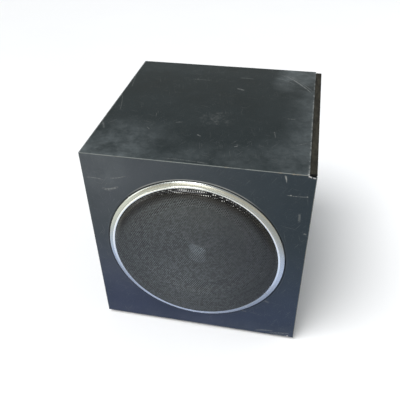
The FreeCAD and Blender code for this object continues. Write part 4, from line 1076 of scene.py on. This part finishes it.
def make_grille():
    """Perforated sheet: six-sided holes in staggered rows, on a shallow dome with a rolled edge."""
    limit = SHEET_END - LIFT - 1.5
    step_x, step_z = HOLE_PITCH * math.sqrt(3) / 2, HOLE_PITCH
    reach = int((SHEET_END + 3) / step_x) + 1
    index = {}
    for i in range(-reach, reach + 1):
        for j in range(-reach, reach + 1):
            x, z = i * step_x, (j + 0.5 * (i % 2)) * step_z
            if math.hypot(x, z) < SHEET_END + 2 * HOLE_PITCH:
                index[i, j] = len(index)
    places = np.array([(i * step_x, (j + 0.5 * (i % 2)) * step_z) for i, j in index])
    corners = [(math.cos(math.radians(60 * k)), math.sin(math.radians(60 * k))) for k in range(6)]
    points = (places[:, None, :] + HOLE_REACH * np.array(corners)[None]).reshape(-1, 2)[:, ::-1]
    travel = np.linalg.norm(points, axis=1)
    outside = travel > SHEET_END
    toward = points / travel[:, None]
    radius, depth, tilt = sheet_profile(np.minimum(travel, SHEET_END))
    front = np.column_stack((toward[:, 0] * radius, depth, toward[:, 1] * radius))
    inner = radius - SHEET * np.sin(tilt)
    back = np.column_stack((toward[:, 0] * inner, depth + SHEET * np.cos(tilt), toward[:, 1] * inner))
    vertices = np.vstack((front, back)) * MM + np.array(AXIS)
    shift = len(front)

    def neighbour(i, j, k):
        """The cell next to (i, j) in direction k: 30, 90 or 150 degrees, or 330 for k = -1."""
        odd = i % 2
        steps = {0: (1, odd), 1: (0, 1), 2: (-1, odd), -1: (1, odd - 1)}
        di, dj = steps[k]
        return index.get((i + di, j + dj))

    sheet, walls = [], []
    for (i, j), cell in index.items():
        a = 6 * cell
        around = [neighbour(i, j, k) for k in (0, 1, 2)]
        for k, other in enumerate(around):
            if other is not None:
                b = 6 * other
                sheet.append((a + k, b + (k + 4) % 6, b + (k + 3) % 6, a + k + 1))
        below = neighbour(i, j, -1)
        if around[0] is not None and below is not None:
            sheet.append((a, 6 * below + 2, 6 * around[0] + 4))
        if around[0] is not None and around[1] is not None:
            sheet.append((a + 1, 6 * around[0] + 3, 6 * around[1] + 5))
        if np.hypot(*places[cell]) < limit - HOLE_REACH:
            for k in range(6):
                after = (k + 1) % 6
                walls.append((a + k, a + after, a + after + shift, a + k + shift))
        else:
            sheet.append(tuple(a + k for k in range(6)))
    sheet = [face for face in sheet if not all(outside[corner] for corner in face)]
    faces = sheet + [tuple(corner + shift for corner in reversed(face)) for face in sheet] + walls
    mesh = mesh_from("grille_sheet", vertices, faces)
    with reworked(mesh, mesh) as work:
        loose = [vertex for vertex in work.verts if not vertex.link_faces]
        bmesh.ops.delete(work, geom=loose, context="VERTS")
        bmesh.ops.remove_doubles(work, verts=work.verts, dist=1e-6)
        rims = [edge for edge in work.edges if len(edge.link_faces) == 1]
        bmesh.ops.bridge_loops(work, edges=rims)
        bmesh.ops.recalc_face_normals(work, faces=work.faces)
    grille = link_mesh("perforated_grille", mesh, GRILLE_PAINT, smooth=False)
    paint_holes(mesh)
    install(grille, ["grille"], slot="black_steel")
    skirt_outer = SLEEVE - 0.3
    skirt = [(skirt_outer, 0.1), (skirt_outer, 6), (skirt_outer - SHEET, 6), (skirt_outer - SHEET, 0.9),
             (WALL - SHEET, 0.9), (WALL - SHEET, 0), (WALL, 0), (WALL, 0.1)]
    install(lathe("grille_fold", fillet(skirt, 0.3), GRILLE_PAINT), ["grille"], slot="black_steel")


# ---- driver ----------------------------------------------------------------------------------

# The basket's front face behind the front board, and the half-roll's crest, half width and height.
FLANGE = (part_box("driver_basket")[0].y - FRONT) / MM
CREST, HALF_WIDTH, ROLL = 83.5, 8.5, 7.7


def roll_outline(start, end):
    """A strip of the half-roll between two angles in degrees, about 0.9 mm thick."""
    steps = 14
    outer, inner = [], []
    for step in range(steps + 1):
        angle = math.radians(start + (end - start) * step / steps)
        cos, sin = math.cos(angle), math.sin(angle)
        outer.append((CREST + HALF_WIDTH * cos, FLANGE - 0.5 - (ROLL - 0.5) * sin))
        inner.append((CREST + (HALF_WIDTH - 0.9) * cos, FLANGE - 0.05 - (ROLL - 0.9) * sin))
    return outer, inner


def make_surround():
    """Half-roll in two strips that meet at the crest: the outer one stays on the basket, and the
    inner one runs from the crest to the cone."""
    outer, inner = roll_outline(0, 90)
    foot = [(CREST + HALF_WIDTH + 1.5, FLANGE - 0.05), (CREST + HALF_WIDTH + 1.5, FLANGE - 0.8)]
    fixed = lathe("surround_outer", inner[::-1] + foot + outer, ROLL_RUBBER)
    install(fixed, ["surround"], slot="soft_rubber")
    outer, inner = roll_outline(90, 180)
    lip = [(CREST - HALF_WIDTH - 7, FLANGE - 0.8), (CREST - HALF_WIDTH - 7, FLANGE - 0.05)]
    moving = lathe("surround_inner", outer + lip + inner[::-1], ROLL_RUBBER)
    crest = (AXIS.x, FRONT + (FLANGE - ROLL) * MM, AXIS.z)
    base = (AXIS.x, FRONT + (FLANGE - 1) * MM, AXIS.z)
    bend(moving, BODY, "cone_assembly", crest, base, "surround", "soft_rubber")


def make_cone():
    """Paper cone with a slightly curved flare and two shallow stiffening ribs, and its dust cap."""
    rim, neck, deep, sheet = 68, 19.25, 35.8, 0.8
    face = []
    for step in range(33):
        share = step / 32
        radius = rim + (neck - rim) * share
        bow = 1.6 * math.sin(math.pi * share)
        rib = 0.35 * math.exp(-((radius - 55) / 0.9) ** 2) + 0.35 * math.exp(-((radius - 43) / 0.9) ** 2)
        face.append((radius, FLANGE + deep * share - bow - rib))
    back = [(radius + (0 if radius < neck + 1 else 0.1), depth + sheet) for radius, depth in reversed(face)]
    lip = [(75, FLANGE + sheet), (75, FLANGE)]
    cone = lathe("cone_finish", face + back + lip, PAPER)
    install(cone, ["cone"], "cone_assembly", "cone_paper")
    cap_radius, height = 28, 8
    foot = FLANGE + deep * (rim - cap_radius) / (rim - neck) - 2.2
    bend = (cap_radius ** 2 + height ** 2) / (2 * height)
    dome = []
    for step in range(25):
        radius = cap_radius * step / 24
        dome.append((radius, foot - height + bend - math.sqrt(bend ** 2 - radius ** 2)))
    under = [(max(radius - 0.3, 0), depth + 0.7) for radius, depth in reversed(dome)]
    skirt = [(cap_radius + 1.2, foot + 0.2), (cap_radius + 1.2, foot + 0.9)]
    cap = lathe("dust_cap_finish", dome + skirt + under, DUST_CAP)
    install(cap, ["dust_cap"], "cone_assembly", "cone_paper")


# ---- rear ------------------------------------------------------------------------------------

def make_port():
    centre = (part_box("port_tube")[0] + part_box("port_tube")[1]) / 2
    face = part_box("rear_panel")[1].y
    bore, flare, lip = 25, 12, 1.5
    throat = [(bore + flare * (1 - math.cos(angle)), lip - flare * (1 - math.sin(angle)))
              for angle in angles(13, 7.5)]
    outside = [(41.2, lip), (42, lip - 0.8), (42, 0), (bore + flare - 1.2, 0), (bore + flare - 1.2, -3),
               (bore + 2, -flare), (bore + 2, -115), (bore + 0.9, -115.6), (bore, -115)]
    tube = lathe("port_tube_finish", throat + outside, GLOSS_BLACK, (centre.x, face, centre.z))
    install(tube, ["port_tube"], slot="black_plastic")


def screw_head(centre, length):
    """A pan-head screw with a cross recess. Its head points backward, out of the rear."""
    radius, height = 3.8, 2.2
    dome = [(radius * math.cos(angle), height * (0.35 + 0.65 * math.sin(angle)))
            for angle in angles(9, 11.25)]
    outline = [(0, -length), (1.1, -length), (1.75, -length + 2), (1.75, 0), (radius, 0)] + dome
    head = lathe("screw", outline, DARK_SCREW, centre, 40)
    for turn in (0, 1):
        size = (radius * 1.15, 0.75)
        bar = box_mesh("recess", centre[0], centre[1] + (height - 0.9) * MM, centre[2],
                       size[turn] * MM, 3 * MM, size[1 - turn] * MM)
        carve(head, bar)
    return head


def box_mesh(name, x, y, z, width, depth, height):
    """A box standing on y, centred on x and z."""
    vertices = [(x + a * width / 2, y + b * depth, z + c * height / 2)
                for a in (-1, 1) for b in (0, 1) for c in (-1, 1)]
    faces = [(0, 1, 3, 2), (4, 6, 7, 5), (0, 4, 5, 1), (2, 3, 7, 6), (0, 2, 6, 4), (1, 5, 7, 3)]
    return link_mesh(name, mesh_from(name, vertices, faces), INK, smooth=False)


def join(name, things):
    """One mesh out of several objects of one material."""
    material = things[0].data.materials[0]
    mesh = bpy.data.meshes.new(name)
    with reworked(mesh, *(thing.data for thing in things)):
        for thing in things:
            bpy.data.objects.remove(thing)
    return link_mesh(name, mesh, material)


def solids_centres(node):
    """Middle of each separate solid of a node, from its mesh islands."""
    work = bmesh.new()
    work.from_mesh(frame["nodes"][node].data)
    bmesh.ops.remove_doubles(work, verts=work.verts, dist=1e-6)
    seen, centres = set(), []
    for start in work.verts:
        if start in seen:
            continue
        island, front = [], [start]
        seen.add(start)
        while front:
            vertex = front.pop()
            island.append(vertex.co.copy())
            for edge in vertex.link_edges:
                other = edge.other_vert(vertex)
                if other not in seen:
                    seen.add(other)
                    front.append(other)
        low = Vector([min(place[axis] for place in island) for axis in range(3)])
        high = Vector([max(place[axis] for place in island) for axis in range(3)])
        centres.append((low + high) / 2)
    work.free()
    return centres


def make_rear_screws(node, seat, length):
    heads = [screw_head((place.x, seat, place.z), length) for place in solids_centres(node)]
    install(join(node + "_finish", heads), [node], slot="fixings")


# The dial's scale, in degrees.
DIAL_START = -60
DIAL_SWEEP = 300


def make_knob():
    """Fluted knob with a white pointer."""
    low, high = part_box("level_knob")
    centre = ((low.x + high.x) / 2, low.y, (low.z + high.z) / 2)
    length = (high.y - low.y) / MM
    wide, narrow, bore, socket = 8.5, 7.9, 6.5, 3.05
    outline = fillet([(bore, 0), (wide, 0), (narrow, length), (0, length), (0, length - 3),
                      (socket, length - 3), (socket, 5.4), (bore, 5.4)], 0.7)
    outline = [(max(radius, 0), depth) for radius, depth in outline]

    def flutes(angle, radius, depth):
        grip = min(1, max(0, (depth - 1.2) / 1)) * min(1, max(0, (length - 1.2 - depth) / 0.8))
        if radius < 7 or grip <= 0:
            return radius
        return radius - 0.45 * grip * (0.5 - 0.5 * math.cos(24 * angle)) ** 2

    ribs = [(wide - 0.6 * step / 12, length * step / 12) for step in range(1, 12)]
    cut = next(index for index, point in enumerate(outline) if point[0] > 7.5 and point[1] > length * 0.5)
    outline = outline[:cut] + ribs[1:-1] + outline[cut:]
    knob = lathe("level_knob_finish", outline, BLACK_PLASTIC, centre, 192, flutes)
    install(knob, ["level_knob"], "level_dial", "black_plastic")
    angle = math.radians(DIAL_START)
    line = box_mesh("knob_pointer", 0, 0, 0, 5.6 * MM, 0.25 * MM, 0.9 * MM)
    move(line, Matrix.Translation((5 * MM, 0, 0)), Matrix.Rotation(-angle, 4, "Y"),
         Matrix.Translation((centre[0], high.y - 0.02 * MM, centre[2])))
    install(line, (), "level_dial", "white_plastic")


def make_scale():
    """Eleven printed ticks around the knob, longer at the ends and the middle."""
    low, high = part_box("level_knob")
    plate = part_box("amp_plate")[1].y
    ticks = []
    for step in range(11):
        angle = math.radians(DIAL_START + DIAL_SWEEP * step / 10)
        length = 3.2 if step % 5 == 0 else 1.9
        tick = box_mesh("tick", 0, 0, 0, length * MM, 0.06 * MM, 0.5 * MM)
        move(tick, Matrix.Translation(((10.4 + length / 2) * MM, 0, 0)), Matrix.Rotation(-angle, 4, "Y"),
             Matrix.Translation(((low.x + high.x) / 2, plate, (low.z + high.z) / 2)))
        ticks.append(tick)
    install(join("level_scale", ticks), (), BODY, "white_plastic")


def make_feet():
    """Soft feet with a rounded sole and a recess over the screw."""
    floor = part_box("rubber_feet")[0].z
    feet = []
    for place in solids_centres("rubber_feet"):
        outline = fillet([(2, 2.6), (4.2, 2.6), (4.2, 0), (9.2, 0), (10, 5), (2, 5)], 0.8)
        foot = lathe("foot", outline, RUBBER, (0, 0, 0), 64)
        move(foot, Matrix.Rotation(math.radians(90), 4, "X"), Matrix.Translation((place.x, place.y, floor)))
        feet.append(foot)
    install(join("rubber_feet_finish", feet), ["rubber_feet"], slot="soft_rubber")


def make_rear():
    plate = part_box("amp_plate")[1].y
    finishes = {
        "rear_panel": (BLACK_BOARD, 0.4), "amp_plate": (BLACK_STEEL, 0.35),
        "mains_inlet": (BLACK_PLASTIC, 0.5), "inlet_blades": (NICKEL, 0.3),
        "switch_housing": (BLACK_PLASTIC, 0.4),
        "power_rocker": (GLOSS_BLACK, 0.6), "jack_shells": (NICKEL, 0.15),
        "jack_inserts_red": (RED_PLASTIC, 0.2), "jack_inserts_white": (WHITE_PLASTIC, 0.2),
        "level_nut": (ZINC, 0.2),
    }
    for node, (material, bevel) in finishes.items():
        refined(node, material, bevel, "power_switch" if node == "power_rocker" else BODY)
    make_rear_screws("amp_plate_screws", plate, 10)
    make_rear_screws("inlet_screws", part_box("mains_inlet")[1].y, 8)
    make_port()
    make_knob()
    make_scale()


# ---- spider, leads and the CAD nodes that keep their own mesh --------------------------------

def make_spider():
    """Corrugated cloth, cupped a little so that it turns from the basket to the former along Y."""
    inner, outer = 19.25, 60.4
    foot = (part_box("spider")[1].y - FRONT) / MM
    upper = []
    for step in range(97):
        share = step / 96
        radius = inner + (outer - inner) * share
        wave = 1.2 * math.sin(share * 2 * math.pi * 6) * min(1, 5 * share, 5 * (1 - share))
        upper.append((radius, foot - 0.5 - 2.2 * (1 - share) - wave))
    lower = [(radius, depth + 0.45) for radius, depth in reversed(upper)]
    spider = lathe("spider_finish", upper + lower, SPIDER_CLOTH)
    bend(spider, "cone_assembly", BODY, (AXIS.x, FRONT + (foot - 3) * MM, AXIS.z),
         (AXIS.x, FRONT + (foot - 0.2) * MM, AXIS.z), "spider", "spider_cloth")


def make_leads():
    """Tinsel leads, copied from the CAD mesh, in place of its node."""
    low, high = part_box("tinsel_leads")
    leads = link_mesh("tinsel_leads_finish", frame["nodes"]["tinsel_leads"].data.copy(), COPPER)
    middle = (low + high) / 2
    bend(leads, BODY, "cone_assembly", (middle.x, high.y, middle.z), (middle.x, low.y, middle.z),
         "tinsel_leads", "copper_wire")


PAINTS = {
    RAW_BOARD: ["corner_battens"],
    INNER_BLACK: ["baffle_liner", "driver_board"],
    WADDING: ["damping_pad_left", "damping_pad_right", "damping_pad_top"],
    FOAM: ["grille_gasket", "driver_gasket", "amp_gasket"],
    RUBBER: ["wire_grommet"],
    ZINC: ["foot_screws", "level_shaft", "transformer_strap"],
    DARK_SCREW: ["driver_screws"],
    BASKET_STEEL: ["driver_basket"],
    BROWN_FILM: ["coil_former"],
    COPPER: ["voice_coil", "transformer_winding"],
    IRON: ["top_plate", "pole_yoke"],
    CORE_STEEL: ["transformer_core"],
    FERRITE: ["magnet"],
    CIRCUIT: ["terminal_strip", "circuit_board"],
    BLACK_PLASTIC: ["amp_chamber", "board_spacers", "amplifier_chips", "jack_block", "level_control"],
    SLEEVE_PLASTIC: ["filter_capacitors"],
    ALUMINIUM: ["heat_sink"],
    WIRE_RED: ["speaker_wires"],
}


def paint_nodes():
    """Materials for the CAD nodes that keep their own mesh."""
    for material, nodes in PAINTS.items():
        for node in nodes:
            slots = frame["nodes"][node].data.materials
            slots.clear()
            slots.append(material)


# ---- stage -----------------------------------------------------------------------------------

def make_stage():
    """Pale floor with a painted reflection for glossy rays, soft light from above and a cool fill from the
    front.
    """
    shader = Shader("floor_paint")
    tone = shader.noise(3, 3)
    plain = shader.mix(tone, (0.86, 0.86, 0.86), (0.90, 0.90, 0.90))
    x, y = shader.axes()[:2]
    # Painted reflection: glossy rays see a bluish floor near the cabinet, a pale warm one far to the left
    # and a darker one far to the right; other rays see the plain floor.
    far = shader.step((x * x + y * y).root(), 0.3, 0.55)
    left = shader.mix(far, (0.60, 0.68, 0.86), (0.95, 0.93, 0.82))
    right = shader.mix(far, (0.60, 0.68, 0.86), (0.42, 0.42, 0.39))
    painted_reflection = shader.mix(shader.step(x, -0.1, 0.3), left, right)
    glossy = shader.node("ShaderNodeLightPath").outputs["Is Glossy Ray"]
    paint = shader.surface(shader.mix(glossy, plain, painted_reflection), 0.8)
    side = 6
    corners = [(-side, -side, 0), (side, -side, 0), (side, side, 0), (-side, side, 0)]
    floor = link_mesh("floor", mesh_from("floor", corners, [(0, 1, 2, 3)]), paint, smooth=False)

    sky = Shader("studio", bpy.data.worlds)
    height = sky.node("ShaderNodeMapRange")
    sky.feed(height.inputs[0], sky.axes(sky.node("ShaderNodeTexCoord").outputs["Generated"])[2])
    height.inputs["From Max"].default_value = 0.6
    glow = sky.node("ShaderNodeBackground")
    sky.feed(glow.inputs["Color"], sky.mix(height.outputs[0], (0.80, 0.70, 0.52), (0.30, 0.33, 0.36)))
    backdrop = sky.node("ShaderNodeBackground")
    backdrop.inputs["Color"].default_value = (1, 1, 1, 1)
    choose = sky.node("ShaderNodeMixShader")
    sky.feed(choose.inputs[0], sky.node("ShaderNodeLightPath").outputs["Is Camera Ray"])
    sky.feed(choose.inputs[1], glow.outputs[0])
    sky.feed(choose.inputs[2], backdrop.outputs[0])
    sky.feed(sky.node("ShaderNodeOutputWorld").inputs[0], choose.outputs[0])
    bpy.context.scene.world = sky.owner

    def lamp(kind, name, place, power, color, size):
        """A soft light at place, turned toward the cabinet's middle."""
        light = bpy.data.lights.new(name, kind)
        if kind == "SUN":
            light.angle = size
        else:
            light.size = size
        light.energy = power
        light.color = color
        holder = add_object(name, light)
        holder.location = place
        aim = Vector((0, 0, 0.15)) - Vector(place)
        holder.rotation_euler = aim.to_track_quat("-Z", "Y").to_euler()

    lamp("SUN", "overhead", (-0.5, -0.6, 1.6), 2.6, (0.98, 0.985, 1.0), math.radians(35))
    lamp("AREA", "front_window", (-0.32, -2.0, 0.92), 6, (1.0, 0.96, 0.86), 0.8)
    lamp("AREA", "left_window", (-1.25, -0.65, 0.5), 4, (0.95, 0.97, 1.0), 0.6)
    lamp("AREA", "right_card", (1.4, 0.45, 0.35), 9, (0.97, 0.98, 1.0), 0.8)


def make_camera():
    """Camera above and to the right of the front."""
    forward = Vector((-0.1716, 0.7698, -0.6148)).normalized()
    right = Vector((0.9789, 0.2034, -0.0186))
    right = (right - forward * right.dot(forward)).normalized()
    up = right.cross(forward)
    lens = bpy.data.cameras.new("camera")
    lens.sensor_width = 36
    lens.lens = 44.88
    camera = add_object("camera", lens)
    turn = Matrix((right, up, -forward)).transposed()
    camera.matrix_world = Matrix.Translation((0.1103, -0.6007, 0.6072)) @ turn.to_4x4()
    bpy.context.scene.camera = camera


make_cabinet()
make_ring()
make_grille()
make_surround()
make_cone()
make_spider()
make_leads()
make_rear()
make_feet()
paint_nodes()
make_stage()
make_camera()
bpy.context.scene.view_settings.view_transform = "Standard"
